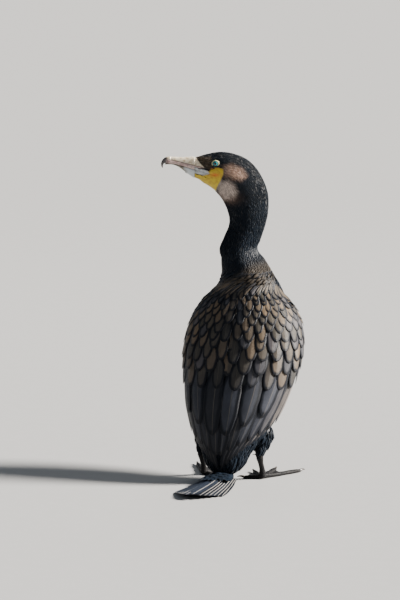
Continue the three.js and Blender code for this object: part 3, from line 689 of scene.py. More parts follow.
barbs = fit(vane_look, calc(vane_look, "SINE", phase), 0.5, 0.5)
feed(vane_look, vane_out, Shaft=shaft, Margin=margin, Barbs=barbs)

DARK_EDGE = (0.0035, 0.0045, 0.0075)


def feather_finish(name, margin, shaft, pitch, rough, shaft_colour, sheen, gloss, spread=0.5):
    """margin is (millimetres, strength), shaft (share, strength), pitch the barbs' spacing in millimetres."""
    made = bpy.data.materials.new(name)
    made.use_nodes = True
    tree = made.node_tree
    shader = tree.nodes["Principled BSDF"]
    look = put(tree, "ShaderNodeGroup", {"node_tree": vane_look}, Shaft_Width=shaft[0],
               Margin_Width=margin[0], Barb_Pitch=pitch)
    mark = read(tree, "marking", "Color")
    tone = read(tree, "tone")
    grey = read(tree, "grizzle")
    pale = calc(tree, "LESS_THAN", calc(tree, "FRACT", times(tree, tone, 7.31)), grey)
    base_colour = blend(tree, times(tree, pale, 0.18), mark, (0.30, 0.28, 0.26))
    cloud = noise(tree, 38.0, 5.0)
    light = fit(tree, tone, spread, 1.0 - spread / 2)
    light = times(tree, light, fit(tree, cloud, 0.9, 0.55))
    light = times(tree, light, fit(tree, look.outputs["Barbs"], 0.30, 0.85))
    shade = put(tree, "ShaderNodeVectorMath", {"operation": "SCALE"}, n0=base_colour,
                Scale=light).outputs[0]
    edge = times(tree, look.outputs["Margin"], margin[1])
    shade = blend(tree, edge, shade, DARK_EDGE)
    line = times(tree, look.outputs["Shaft"], shaft[1])
    shade = blend(tree, line, shade, shaft_colour)
    feed(tree, shader, Base_Color=shade)
    dull = fit(tree, cloud, 0.22, rough - 0.11)
    feed(tree, shader, Roughness=fit(tree, look.outputs["Barbs"], 0.06, dull))
    high = fit(tree, look.outputs["Shaft"], 1.6, look.outputs["Barbs"])
    bumped(tree, shader, high, 0.35, 0.0002)
    feed(tree, shader, Specular_IOR_Level=gloss, Sheen_Weight=sheen, Sheen_Roughness=0.35,
         Sheen_Tint=(0.45, 0.62, 1.0))
    return made


wing_finish = feather_finish("bronze wing feathers", (4.2, 0.99), (0.05, 0.3), 0.9, 0.42,
                             (0.10, 0.085, 0.065), 0.01, 0.15, 0.9)
# The long feathers' shafts are paler and stronger than the wing's: real shafts, made paler as a painted
# highlight of sunlit edges.
quill_finish = feather_finish("long wing feathers", (5.0, 0.98), (0.045, 0.4), 0.9, 0.42,
                              (0.13, 0.115, 0.095), 0.01, 0.15, 0.6)
tail_finish = feather_finish("tail feathers", (0.9, 0.6), (0.085, 0.9), 0.8, 0.42,
                             (0.42, 0.40, 0.37), 0.02, 0.14)
coat_finish = feather_finish("body feathers", (1.0, 0.4), (0.08, 0.1), 1.1, 0.42,
                             (0.012, 0.015, 0.022), 0.01, 0.08, 0.35)
down_finish = feather_finish("face feathers", (0.3, 0.2), (0.1, 0.1), 0.8, 0.5,
                             (0.04, 0.04, 0.04), 0.01, 0.06, 0.9)
print("feather finishes:", [m.name for m in bpy.data.materials if "feathers" in m.name])

# %% [markdown]
# Small body feathers repeat all over the skin, which is work for Geometry Nodes. A broad
# and a silky feather are made first, thin closed blades of some twenty faces. The
# tree scatters points at an even spacing, turns a feather at each to the lie of the coat,
# tips it up slightly, and gives it its own patch on the skin's flat pattern.

# %% One small feather
def small_feather(name, narrow, rows, nominal):
    """rows are (share of the length, share of the width), nominal its usual length in millimetres."""
    points, blades, barbs_at, edges, faces = [], [], [], [], []
    for along, wide in rows:
        half = 0.5 * wide * (1 - narrow * along)
        arch = 0.07 * math.sin(math.pi * min(along * 1.1, 1.0)) - 0.05 * along**3
        for side, thick in ((-1, 0), (0, 0.022), (1, 0), (0, -0.012)):
            points.append((along, side * half, arch + thick - 0.05 * abs(side)))
            blades.append((0.5 + 0.5 * side, along))
            barbs_at.append(nominal * (along - 0.4 * abs(side) * wide))
            edges.append(nominal * min(half * (1 - abs(side)), 0.8 * (1 - along)))
    for r in range(len(rows) - 1):
        for i in range(4):
            a, b = 4 * r + i, 4 * r + (i + 1) % 4
            faces.append((a, b, b + 4, a + 4))
    last = 4 * (len(rows) - 1)
    faces += [(3, 2, 1, 0), (last, last + 1, last + 2, last + 3)]
    made = new_object(name, points, faces, millimetres=False)
    layer = made.data.uv_layers.new(name="blade")
    for loop in made.data.loops:
        layer.data[loop.index].uv = blades[loop.vertex_index]
    store(made, "barb", np.array(barbs_at), "FLOAT")
    store(made, "edge", np.array(edges), "FLOAT")
    return made


BROAD = [(0.0, 0.30), (0.25, 0.8), (0.55, 1.0), (0.8, 0.82), (0.94, 0.45), (1.0, 0.08)]
SILKY = [(0.0, 0.35), (0.45, 1.0), (0.82, 0.72), (1.0, 0.08)]
broad_feather = small_feather("broad_feather", 0.15, BROAD, 16.0)
silky_feather = small_feather("silky_feather", 0.35, SILKY, 8.0)


# %% The tree that lays the coat
def named(tree, name, kind="FLOAT_VECTOR"):
    return put(tree, "GeometryNodeInputNamedAttribute", {"data_type": kind}, Name=name).outputs["Attribute"]


def turned_by(tree, rotation, axis, angle):
    turn = put(tree, "FunctionNodeAxisAngleToRotation", Axis=axis, Angle=angle).outputs[0]
    return put(tree, "FunctionNodeRotateRotation", {"rotation_space": "LOCAL"},
               Rotation=rotation, Rotate_By=turn).outputs[0]


def coat_tree():
    tree = bpy.data.node_groups.new("lay a coat of feathers", "GeometryNodeTree")
    for name, kind in (("Geometry", "Geometry"), ("Feather", "Object"), ("Where", "String"),
                       ("Spacing", "Float"),
                       ("Length", "Float"), ("Width", "Float"), ("Tip Up", "Float"), ("Seed", "Int"),
                       ("Finish", "Material")):
        tree.interface.new_socket(name=name, in_out="INPUT", socket_type="NodeSocket" + kind)
    tree.interface.new_socket(name="Geometry", in_out="OUTPUT", socket_type="NodeSocketGeometry")
    given = tree.nodes.new("NodeGroupInput").outputs
    result = tree.nodes.new("NodeGroupOutput")
    spacing = given["Spacing"]
    most = calc(tree, "DIVIDE", 1.6, times(tree, spacing, spacing))
    where = named(tree, given["Where"], "FLOAT")
    points = put(tree, "GeometryNodeDistributePointsOnFaces", {"distribute_method": "POISSON"},
                 Mesh=given["Geometry"],
                 Distance_Min=spacing, Density_Max=most, Density_Factor=where, Seed=given["Seed"])

    def any_number(low, high, shift):
        seed = calc(tree, "ADD", given["Seed"], float(shift))
        return put(tree, "FunctionNodeRandomValue", {"data_type": "FLOAT"}, n2=low, n3=high,
                   Seed=seed).outputs[1]

    toned = put(tree, "GeometryNodeStoreNamedAttribute", {"data_type": "FLOAT", "domain": "POINT"},
                Geometry=points.outputs["Points"], Name="tone", Value=any_number(0.0, 1.0, 1))
    upright = put(tree, "FunctionNodeAlignRotationToVector", {"axis": "Z"}, Vector=points.outputs["Normal"])
    lying = put(tree, "FunctionNodeAlignRotationToVector", {"axis": "X", "pivot_axis": "Z"},
                Rotation=upright.outputs[0], Vector=named(tree, "lie"))
    turned = turned_by(tree, lying.outputs[0], (0, 0, 1), any_number(-0.16, 0.16, 2))
    lift = times(tree, times(tree, given["Tip Up"], -1.0), any_number(0.6, 1.4, 3))
    tipped = turned_by(tree, turned, (0, 1, 0), lift)
    long = times(tree, given["Length"], any_number(0.82, 1.15, 4))
    wide = times(tree, given["Width"], any_number(0.85, 1.15, 5))
    size = put(tree, "ShaderNodeCombineXYZ", X=long, Y=wide, Z=long)
    feather = put(tree, "GeometryNodeObjectInfo", Object=given["Feather"])
    laid = put(tree, "GeometryNodeInstanceOnPoints", Points=toned.outputs[0],
               Instance=feather.outputs["Geometry"],
               Rotation=tipped, Scale=size.outputs[0])
    real = put(tree, "GeometryNodeRealizeInstances", Geometry=laid.outputs[0])
    patch = put(tree, "ShaderNodeVectorMath", {"operation": "MULTIPLY_ADD"},
                n0=named(tree, "blade"), n1=(PATCH, PATCH, 0), n2=named(tree, "pattern"))
    baked = put(tree, "GeometryNodeStoreNamedAttribute", {"data_type": "FLOAT2", "domain": "CORNER"},
                Geometry=real.outputs[0], Name="OFBake", Value=patch.outputs[0])
    finished = put(tree, "GeometryNodeSetMaterial", Geometry=baked.outputs[0], Material=given["Finish"])
    tree.links.new(finished.outputs[0], result.inputs[0])
    return tree


lay_coat = coat_tree()


def coat_piece(name, feather, where, spacing, length, width, tip_up, seed, finish):
    carrier = bpy.data.objects.new(name, skin.data.copy())
    bpy.context.scene.collection.objects.link(carrier)
    modifier = carrier.modifiers.new("coat", "NODES")
    modifier.node_group = lay_coat
    given = {"Feather": feather, "Where": where, "Spacing": spacing, "Length": length, "Width": width,
             "Tip Up": tip_up, "Seed": seed, "Finish": finish}
    for item in lay_coat.interface.items_tree:
        if item.in_out == "INPUT" and item.name in given:
            modifier[item.identifier] = given[item.name]
    with_modifiers_applied(carrier)
    if "pattern" in carrier.data.uv_layers:
        carrier.data.uv_layers.remove(carrier.data.uv_layers["pattern"])
    faces = sum(p.loop_total - 2 for p in carrier.data.polygons)
    print(name, faces, "triangles, maps", [layer.name for layer in carrier.data.uv_layers])
    return carrier


coats = [
    coat_piece("head_coat", silky_feather, "on_head", 0.00150, 0.0060, 0.0015, 0.08, 3, down_finish),
    coat_piece("upper_neck_coat", silky_feather, "on_upper_neck", 0.00205, 0.0088, 0.0029, 0.05, 5,
               coat_finish),
    coat_piece("lower_neck_coat", silky_feather, "on_lower_neck", 0.00225, 0.0100, 0.0036, 0.045, 6,
               coat_finish),
    coat_piece("breast_coat", broad_feather, "on_breast", 0.0042, 0.0175, 0.0080, 0.045, 7, coat_finish),
    coat_piece("thigh_coat", broad_feather, "on_thighs", 0.0034, 0.0150, 0.0066, 0.035, 8, coat_finish),
]
for spent in (broad_feather, silky_feather):
    bpy.data.objects.remove(spent)

# %% [markdown]
# Wing and tail feathers are placed one by one, because each has its own length and place.
# A feather is a grid of points from root to tip, mapped on to the curve of the body, with
# a second grid just under it and a rim that closes the two. All the feathers of a piece are
# computed together as arrays.

# %% A piece made of many large feathers
ROOT_WIDE = 0.45  # a feather's width at its root, as a share of its width
BARB_SLANT = 1.2  # how far barbs run on towards the tip for each millimetre sideways


def feather_grid(half, blunt, lean, skew, rows, columns):
    """Shares, sideways places and heights of the two faces of each feather."""
    share = 1 - (1 - np.linspace(0, 1, rows)) ** 1.35
    spread = ROOT_WIDE + (1 - ROOT_WIDE) * smooth(share / 0.4)
    past = np.clip((share[None] - blunt[:, None]) / (1 - blunt[:, None]), 0, 1)
    outline = spread[None] * np.sqrt(np.clip(1 - past**2.3, 0, 1))
    ripple = 1 + 0.025 * np.sin(share[None] * rng.uniform(16, 34, len(half))[:, None]
                                + rng.uniform(0, 6, len(half))[:, None])
    width = np.maximum(half[:, None] * outline * ripple, 0.35)
    side = np.linspace(-1, 1, columns)
    uneven = 1 - skew[:, None, None] * np.sign(side)
    across = width[..., None] * side * uneven
    shaft = np.exp(-((side / 0.07) ** 2)) * 0.32
    camber = -0.07 * half[:, None, None] * (across / half[:, None, None]) ** 2
    thin = 0.16 + 0.16 * (1 - np.abs(side)) * np.ones_like(across)
    middle = lean[:, None, None] * across + camber
    share = np.broadcast_to(share[None, :, None], across.shape)
    edge = width[..., None] * uneven * (1 - np.abs(side))
    return share, across, middle + thin / 2 + shaft * (1 - 0.6 * share), middle - thin / 2, side, edge


def feathers_piece(name, place, half, blunt, lean, tone, marking, root_pattern, finish, rows, columns,
                   skew=0.0):
    half, blunt, lean, tone = (np.asarray(v, float) for v in (half, blunt, lean, tone))
    skew = np.broadcast_to(skew, half.shape)
    share, across, top, bottom, side, edge = feather_grid(half, blunt, lean, skew, rows, columns)
    points = np.stack([place(share, across, top), place(share, across, bottom)], 1)
    number, grid = len(half), rows * columns
    faces = (sheet_faces(rows, columns) + (np.arange(number) * 2 * grid)[:, None, None]).reshape(-1, 4)
    made = new_object(name, points, faces)
    relative = np.stack([np.broadcast_to(0.5 + 0.5 * side, share.shape), share], -1)
    relative = np.stack([relative, relative], 1).reshape(-1, 2)
    vertex = np.empty(len(made.data.loops), int)
    made.data.loops.foreach_get("vertex_index", vertex)
    owner = np.repeat(np.arange(number), 2 * grid)
    for layer, spots in (("blade", relative), ("OFBake", root_pattern[owner] + PATCH * relative)):
        made.data.uv_layers.new(name=layer).data.foreach_set("uv", spots[vertex].ravel())
    length = np.linalg.norm(points[:, 0, -1, columns // 2] - points[:, 0, 0, columns // 2], axis=-1)
    barb_at = share * length[:, None, None] - BARB_SLANT * np.abs(across)
    edge = np.minimum(edge, 0.8 * (1 - share) * length[:, None, None]) * (10 / half[:, None, None]) ** 0.6
    store(made, "barb", np.stack([barb_at, barb_at], 1).ravel(), "FLOAT")
    store(made, "edge", np.stack([edge, edge], 1).ravel(), "FLOAT")
    store(made, "tone", tone[owner], "FLOAT")
    store(made, "grizzle", 0 * tone[owner], "FLOAT")
    store(made, "marking", marking[owner], "FLOAT_COLOR")
    made.data.materials.append(finish)
    print(name, number, "feathers", sum(p.loop_total - 2 for p in made.data.polygons), "triangles")
    return made


# %% Feathers that follow the body
def on_body(root, tip, hand):
    """Maps a feather on to the trunk. root and tip are rows of height, angle round and lift."""
    root, tip, hand = (np.asarray(v, float) for v in (root, tip, hand))
    hand = hand[:, None, None]

    def middle_line(share):
        eased = np.maximum(share, 0) ** 0.8
        starts, ways = root[:, :, None, None], (tip - root)[:, :, None, None]
        return [starts[:, k] + ways[:, k] * part for k, part in enumerate((share, share, eased))]

    def place(share, across, height):
        up, round_, lift = middle_line(share)
        up_next, round_next, _ = middle_line(share + 0.02)
        here = body_point(up, round_, lift, hand)
        along = unit(body_point(up_next, round_next, lift, hand) - here)
        per_degree = body_point(up, round_ + 1, lift, hand) - here
        per_up = body_point(up + 1, round_, lift, hand) - here
        sideways = unit(per_degree)
        sideways = unit(sideways - (sideways * along).sum(-1, keepdims=True) * along) * across[..., None]
        degrees = (sideways * per_degree).sum(-1) / (per_degree**2).sum(-1)
        rest = sideways - per_degree * degrees[..., None]
        rise = (rest * per_up).sum(-1) / (per_up**2).sum(-1)
        return body_point(up + rise, round_ + degrees, lift + height, hand)

    return place


def body_pattern(root, hand):
    place = np.interp(root[:, 0], heights_up, heights)
    return pattern_place(place, round_back(270 + np.asarray(hand) * root[:, 1]) / 360)


# %% [markdown]
# On a folded wing the feathers grow from the shoulder down: many rows of small scaly ones,
# then broad shoulder feathers, then the long flight feathers that reach the tail. Each row
# lies on the next like roof tiles, and inside a row each feather lies over its outer
# neighbour. The rows are computed from the top one down, each a little larger.

# %% Rows of scaly wing feathers
ROW_TIPS = [350, 345, 339.5, 333.5, 327, 320, 312.5, 304.5, 296, 286.5, 276, 264.5, 252, 238, 222, 204, 183,
            160]
ROW_WIDTHS = 6.5 + 21 * np.linspace(0, 1, len(ROW_TIPS)) ** 1.25


def wing_rows(hand):
    root, tip, half, lean, tone = [], [], [], [], []
    for r, (tip_up, width) in enumerate(zip(ROW_TIPS, ROW_WIDTHS)):
        length = 1.7 * width + 7
        edge = float(wing_edge(tip_up)) - 3
        one_degree = body_point(tip_up, 61.0, 0.0, 1) - body_point(tip_up, 60.0, 0.0, 1)
        per_degree = float(np.linalg.norm(one_degree))
        number = max(3, int(round(edge * per_degree / (0.86 * width))))
        pitch = edge / number
        for k in range(number + 1):
            out = pitch * (k + (0.5 if r % 2 else 0.05)) + rng.normal(0, 0.07 * pitch)
            if out > edge + 2:
                continue
            up = tip_up + rng.normal(0, 0.07 * width) + 5 * smooth((out - 60) / 60)
            root_up = min(up + length * rng.uniform(0.9, 1.1), 358)
            skin_there = [float(wing_bulge(at, out)) - COAT["body"] for at in (root_up, up)]
            root.append([root_up, out * 0.98, skin_there[0] - 0.5])
            tip.append([up, out, skin_there[1] + 2.2 + 0.06 * width])
            half.append(width / 2 * rng.uniform(0.9, 1.1))
            lean.append(0.35 / (pitch * per_degree))
            tone.append(rng.uniform())
    root, tip, half, lean, tone = map(np.array, (root, tip, half, lean, tone))
    low = smooth((250 - tip[:, :1]) / 110)
    dark = smooth((tip[:, :1] - 318) / 30)
    inner = smooth((34 - tip[:, 1:2]) / 30) * (1 - low)
    marking = BRONZE * (1 - 0.35 * low) + SLATE * 0.5 * low
    marking = marking + (BLUE_BLACK * 1.6 - marking) * np.maximum(0.75 * dark, 0.45 * inner)
    marking = marking * (1 + np.array([0.3, 0.05, -0.25]) * (tone[:, None] - 0.5))
    marking = marking + (SLATE * 2.4 - marking) * 0.6 * (rng.uniform(size=(len(half), 1)) < 0.25)
    return root, tip, half, np.full(len(half), 0.5), lean, tone, marking, np.full(len(half), hand)


def flight_rows(hand):
    """Primaries, then the secondaries and the tertials over them."""
    over = 1.0 if hand < 0 else 0.0  # the left wing lies over the right one
    rows = [
        (8, (150, 158), (40, 103), 1.0, (26, 82), (6, 73), 1.4, (9, 8), 0.25),
        (7, (172, 180), (8, 104), 1.6, (50, 102), (5, 92), 3.8, (15, 12.5), 0.5),
        (3, (206, 194), (9, 56), 3.0, (84, 116), (10, 52), 5.6, (19.5, 18), 0.45),
    ]
    root, tip, half, blunt, lean = [], [], [], [], []
    for number, root_up, root_round, root_lift, tip_up, tip_round, tip_lift, halves, bluntness in rows:
        share = np.linspace(0, 1, number)
        mix = lambda pair: pair[0] + (pair[1] - pair[0]) * share
        start = np.stack([mix(root_up), mix(root_round), np.full(number, root_lift)], -1)
        end = np.stack([mix(tip_up), mix(tip_round), np.full(number, tip_lift)], -1)
        end[:, 2] += over * smooth((30 - end[:, 1]) / 20)
        ends = body_point(end[:, 0], end[:, 1], 0.0, 1)
        root.append(start)
        tip.append(end)
        half.append(mix(halves))
        blunt.append(np.full(number, bluntness))
        span = np.linalg.norm(np.diff(ends, axis=0), axis=1).sum()
        lean.append(np.full(number, 0.75 * (number - 1) / span))
    root, tip, half, blunt, lean = (np.concatenate(v) for v in (root, tip, half, blunt, lean))
    tone = rng.uniform(size=len(half))
    outer = smooth((root[:, 1:2] - 60) / 45)
    marking = SLATE * (0.95 + 0.5 * tone[:, None]) + BRONZE * 0.12 + outer * BRONZE * 0.9
    return root, tip, half, blunt, lean, tone, marking, np.full(len(half), hand)


wings = []
for side_name, hand in (("right", 1), ("left", -1)):
    for kind, rows_of, finish, rows, columns in (
        ("scaly", wing_rows, wing_finish, 12, 9), ("long", flight_rows, quill_finish, 30, 11),
    ):
        root, tip, half, blunt, lean, tone, marking, hands = rows_of(hand)
        piece = feathers_piece(
            f"{kind}_feathers_{side_name}", on_body(root, tip, hands), half, blunt, lean, tone, marking,
            body_pattern(root, hands), finish, rows, columns, 0.0 if kind == "scaly" else 0.2 * hand,
        )
        wings.append((piece, side_name))

# %% [markdown]
# The tail is a stiff fan of fourteen feathers with pale shafts. The middle pair lies on
# top, and each outer one lies under its neighbour. Here it is laid back on the floor, where
# the lowest feathers rest flat. Short coverts hide their roots.

# %% Tail
TAIL_ROOT, TAIL_SLOPE, TAIL_PAIRS, LEVEL = (0.0, -92.0, 17.0), math.radians(5.6), 7, 1.3


def tail_point(along, across, level, height):
    x, y, z = TAIL_ROOT
    sloping = z - along * math.tan(TAIL_SLOPE) - LEVEL * level
    resting = 1.6 + LEVEL * (TAIL_PAIRS - level)
    higher = (sloping + resting + np.hypot(sloping - resting, 2)) / 2
    return np.stack([x + across, y - along, higher + height], -1)


pairs = np.repeat(np.arange(TAIL_PAIRS), 2)
hands = np.tile([1, -1], TAIL_PAIRS)
level = np.where((pairs == 0) & (hands > 0), 0, pairs + 1)[:, None, None]
tail_length = (166 - 7.5 * pairs)[:, None, None]
splay = (hands * np.radians(1 + 1.2 * pairs))[:, None, None]
tail_skew = np.where(pairs == 0, 0.15, 0.58) * hands
start = (hands * (1.5 + 3 * pairs) + 10 * tail_skew)[:, None, None]


def on_tail(share, across, height):
    along = share * tail_length
    x = start + along * np.sin(splay) + across
    hand = hands[:, None, None]
    kept = np.where(pairs[:, None, None] == 0, x, hand * np.maximum(hand * x, 0.3))
    return tail_point(along * np.cos(splay), kept, level, height)


tone = rng.uniform(size=len(pairs))
tail_marking = SLATE[None] * (0.5 + 0.5 * tone[:, None])
tail_pattern = np.stack([0.80 + 0.012 * np.arange(len(pairs)) % 0.18, np.full(len(pairs), 0.55)], -1)
tail = feathers_piece("tail_feathers", on_tail, np.full(len(pairs), 10.0), np.full(len(pairs), 0.74),
                      np.zeros(len(pairs)), tone, tail_marking, tail_pattern, tail_finish, 34, 11, tail_skew)

covert_rows = []
for row, (reach, number) in enumerate(((56, 9), (45, 10), (34, 9), (22, 8))):
    for k in range(number):
        covert_rows.append((2 * k / (number - 1) - 1, reach, row))
covert_side, covert_reach, covert_row = (np.array(v, float)[:, None, None] for v in zip(*covert_rows))
covert_reach = covert_reach * rng.uniform(0.9, 1.1, covert_reach.shape)
covert_turn = rng.normal(0, 0.035, covert_reach.shape)


def on_tail_covert(share, across, height):
    along = -9 + share * (covert_reach + 9) * (1 - 0.15 * np.abs(covert_side))
    rise = 1.0 + (1.2 + 0.8 * covert_row) * np.maximum(share, 0) ** 0.6 - 3.4 * np.abs(covert_side) ** 1.5
    x = (17 - 1.5 * covert_row) * covert_side + along * np.sin(0.22 * covert_side + covert_turn) + across
    return tail_point(along, x, 0, rise - 0.1 * across * np.sign(covert_side) + height)


covert_number = len(covert_rows)
tone = rng.uniform(size=covert_number)
covert_pattern = np.stack([0.80 + 0.008 * (np.arange(covert_number) % 22),
                           np.full(covert_number, 0.60)], -1)
covert_marking = BLUE_BLACK * (0.9 + 0.8 * tone[:, None])
tail_coverts = feathers_piece("tail_coverts", on_tail_covert, rng.uniform(4.2, 5.6, covert_number),
                              np.full(covert_number, 0.4), np.zeros(covert_number), tone,
                              covert_marking, covert_pattern, coat_finish, 12, 9)

# %% [markdown]
# The stump of the tail and its feathers' roots are flesh. A short flattened tube carries
# them, dark and hidden by the coverts, so that no gap shows from below.

# %% Stump of the tail
stump_line = [(-10, 11, 5), (2, 20, 6), (14, 22.5, 6), (28, 21.5, 5), (42, 18, 3.4), (54, 10, 1.2)]
turn = circle(40)
stump_points = np.concatenate([
    tail_point(along + 0 * turn, half * np.cos(turn), 3.5,
               thick * np.sin(turn)) for along, half, thick in stump_line
])
stump = new_object("tail_stump", stump_points, tube_faces(len(stump_line), 40))
print("stump:", len(stump.data.polygons), "faces")

# %% [markdown]
# The bill is long, straight and hooked. Its upper half is cream above a groove and pink
# below it, with a dark hook, and its lower half is dusky. Each half is lofted on its own
# between the line of the mouth and its outline, so the mouth is a true line. The groove
# runs from the slit of the nostril to the hook.

# %% Bill
BILL = np.array([
    [74, 540.5, 29, 11.8, 12.4], [80, 541, 26.6, 11.3, 11.2], [84, 541.5, 24.7, 10.8, 9.9],
    [96, 543, 17.4, 8.4, 7.3], [108, 544.5, 10.2, 7, 5.6], [118, 545.8, 7.8, 6.2, 4.9],
    [126, 546, 7.6, 6, 4.4], [131, 545, 6.8, 5.6, 3.6],
])  # along, middle, below, above and half the width of each ring
HOOK = [(121, 548.2, 3.9, 4.2), (127.5, 547.6, 3.8, 4.1), (132.5, 544.4, 3.2, 3.6),
        (135.4, 540.2, 2.4, 2.5),
        (136, 535.8, 1.5, 1.5), (134.8, 532.4, 0.4, 0.4)]


def soft_interp(x, xs, ys):
    """Interpolation on a smooth curve through the given values."""
    i = np.clip(np.searchsorted(xs, x, side="right") - 1, 0, len(xs) - 2)
    slopes = np.gradient(ys, xs)
    step = xs[i + 1] - xs[i]
    f = (x - xs[i]) / step
    rise = 3 * f**2 - 2 * f**3
    return (ys[i] * (1 - rise) + ys[i + 1] * rise
            + step * (slopes[i] * (f**3 - 2 * f**2 + f) + slopes[i + 1] * (f**3 - f**2)))


GROOVE = (519.6, 0.225)  # height of the groove in the bill's side: at the start, and per millimetre along


def bill_half(name, upper, rings=70, sides=72):
    along = np.linspace(79.6, 130.8, rings)
    middle, below, above, half = (soft_interp(along, BILL[:, 0], BILL[:, k]) for k in (1, 2, 3, 4))
    mouth_up = np.interp(along, MOUTH[:, 0], MOUTH[:, 1])
    turn = np.linspace(0, math.pi, sides // 2 + 1)
    arc = [np.cos(turn), np.sin(turn)]
    flat = np.linspace(-1, 1, sides // 2 + 1)[1:-1]
    x = np.concatenate([arc[0], flat])
    rise = np.concatenate([arc[1], 0 * flat])
    outline = middle + above if upper else middle - below
    start = mouth_up + (0.2 if upper else -0.2)
    power = 0.8 if upper else 0.62
    up = start[:, None] + (outline - start)[:, None] * rise[None] ** power
    wide = half[:, None] * (0.97 if upper else 0.93) * np.ones((rings, 1))
    if upper:
        off_groove = up - (GROOVE[0] + GROOVE[1] * along)[:, None]
        wide = wide - 0.55 * np.exp(-((off_groove / 0.8) ** 2)) * smooth((128 - along) / 6)[:, None]
        slit = np.exp(-((off_groove / 0.55) ** 2)) * np.exp(-(((along - 89) / 3.6) ** 2))[:, None]
        wide = wide - 0.9 * slit  # the slit of the nostril
    across = x[None] * wide
    return new_object(name, head_point(along[:, None], up, across), tube_faces(rings, len(x)))


bill_upper = bill_half("bill_upper_horn", True)
bill_lower = bill_half("bill_lower_horn", False)
hook_line = np.array(HOOK)
hook_steps = np.linspace(0, len(HOOK) - 1, 26)
hook_rows = np.stack([soft_interp(hook_steps, np.arange(len(HOOK)), hook_line[:, k]) for k in range(4)], -1)
hook_way = unit(np.gradient(hook_rows[:, :2], axis=0))
turn = circle(28)
out = hook_rows[:, 3:4] * np.sin(turn)[None]
hook = new_object(
    "hook",
    head_point(hook_rows[:, :1] - hook_way[:, 1:] * out, hook_rows[:, 1:2] + hook_way[:, :1] * out,
               hook_rows[:, 2:3] * np.cos(turn)[None]),
    tube_faces(26, 28),
)
join = bill_upper.modifiers.new("join", "BOOLEAN")
join.operation, join.solver, join.object = "UNION", "EXACT", hook
with_modifiers_applied(bill_upper)
bpy.data.objects.remove(hook)
print("bill:", len(bill_upper.data.polygons), "and", len(bill_lower.data.polygons), "faces")

# %% [markdown]
# The eye is emerald with a round pupil, and a ring of pale beads runs along both lids. The
# ball keeps its place in the solids. How far a point is from the middle of the pupil is
# stored on the ball, and the shader turns that into pupil, iris and rim.

# %% Eyes and lids
EYEBALL = 5.9  # radius of the ball in millimetres
eyes, lids = [], []
for side_name, hand in (("right", 1), ("left", -1)):
    low, high = (np.array(corner) * 1000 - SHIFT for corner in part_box("eye_" + side_name))
    centre = (low + high) / 2
    axis = unit(hand * head_side + 0.10 * bill_way)
    flat = unit(np.cross(axis, [0, 0, 1.0]))
    over = np.cross(flat, axis)
    bend = np.linspace(0.02, math.pi - 0.02, 40)
    turn = circle(56)
    bulge = EYEBALL + 0.28 * np.exp(-((bend / 0.55) ** 2))
    ring = round_of(turn, flat, over)
    ball = centre + bulge[:, None, None] * round_of(bend, axis, ring[:, None]).swapaxes(0, 1)
    eye = new_object("eyeball_" + side_name, ball, tube_faces(40, 56))
    store(eye, "off_middle", np.repeat(bend, 56), "FLOAT")
    eyes.append((eye, side_name))
    turn = circle(96)
    small = circle(12)
    beads = 0.95 * (1 + 0.12 * np.cos(24 * turn)) * (1.1 - 0.25 * np.cos(turn))
    opening = 5.6 * (1 - 0.06 * np.abs(np.sin(turn)))
    line = centre + opening[:, None] * round_of(turn, flat * 1.06, over * 0.98) + 2.75 * axis
    outward = round_of(turn, flat, over)
    points = line[:, None] + beads[:, None, None] * round_of(small, outward[:, None], axis)
    index = np.arange(96 * 12).reshape(96, 12)
    after, beside = np.roll(index, -1, 0), np.roll(index, -1, 1)
    faces = np.stack([index, beside, np.roll(after, -1, 1), after], -1).reshape(-1, 4)
    lids.append(new_object("lids_" + side_name, points, faces))
    print("eye", side_name, "at", centre.round(1).tolist(), "mm from the body's axis")

# %% [markdown]
# A cormorant's foot is unusual: one web joins all four toes. The toes and the webs between
# them are made apart and then fused by a fine voxel remesh, which gives the soft creases of
# real skin where they meet. Cross scales along the toes are rings in the toes themselves.

# %% Legs, feet and claws
TOES = {"hind": (-104, 33, 4), "inner": (-34, 58, 4.4), "middle": (-3, 82, 4.8), "outer": (27, 92, 4.8)}
feet, claws = [], []


def toe_spot(toe, hand, share):
    way, length, _ = TOES[toe]
    a = math.radians(way)
    return hand * (LEG_X + math.sin(a) * length * share), FOOT[0] + math.cos(a) * length * share


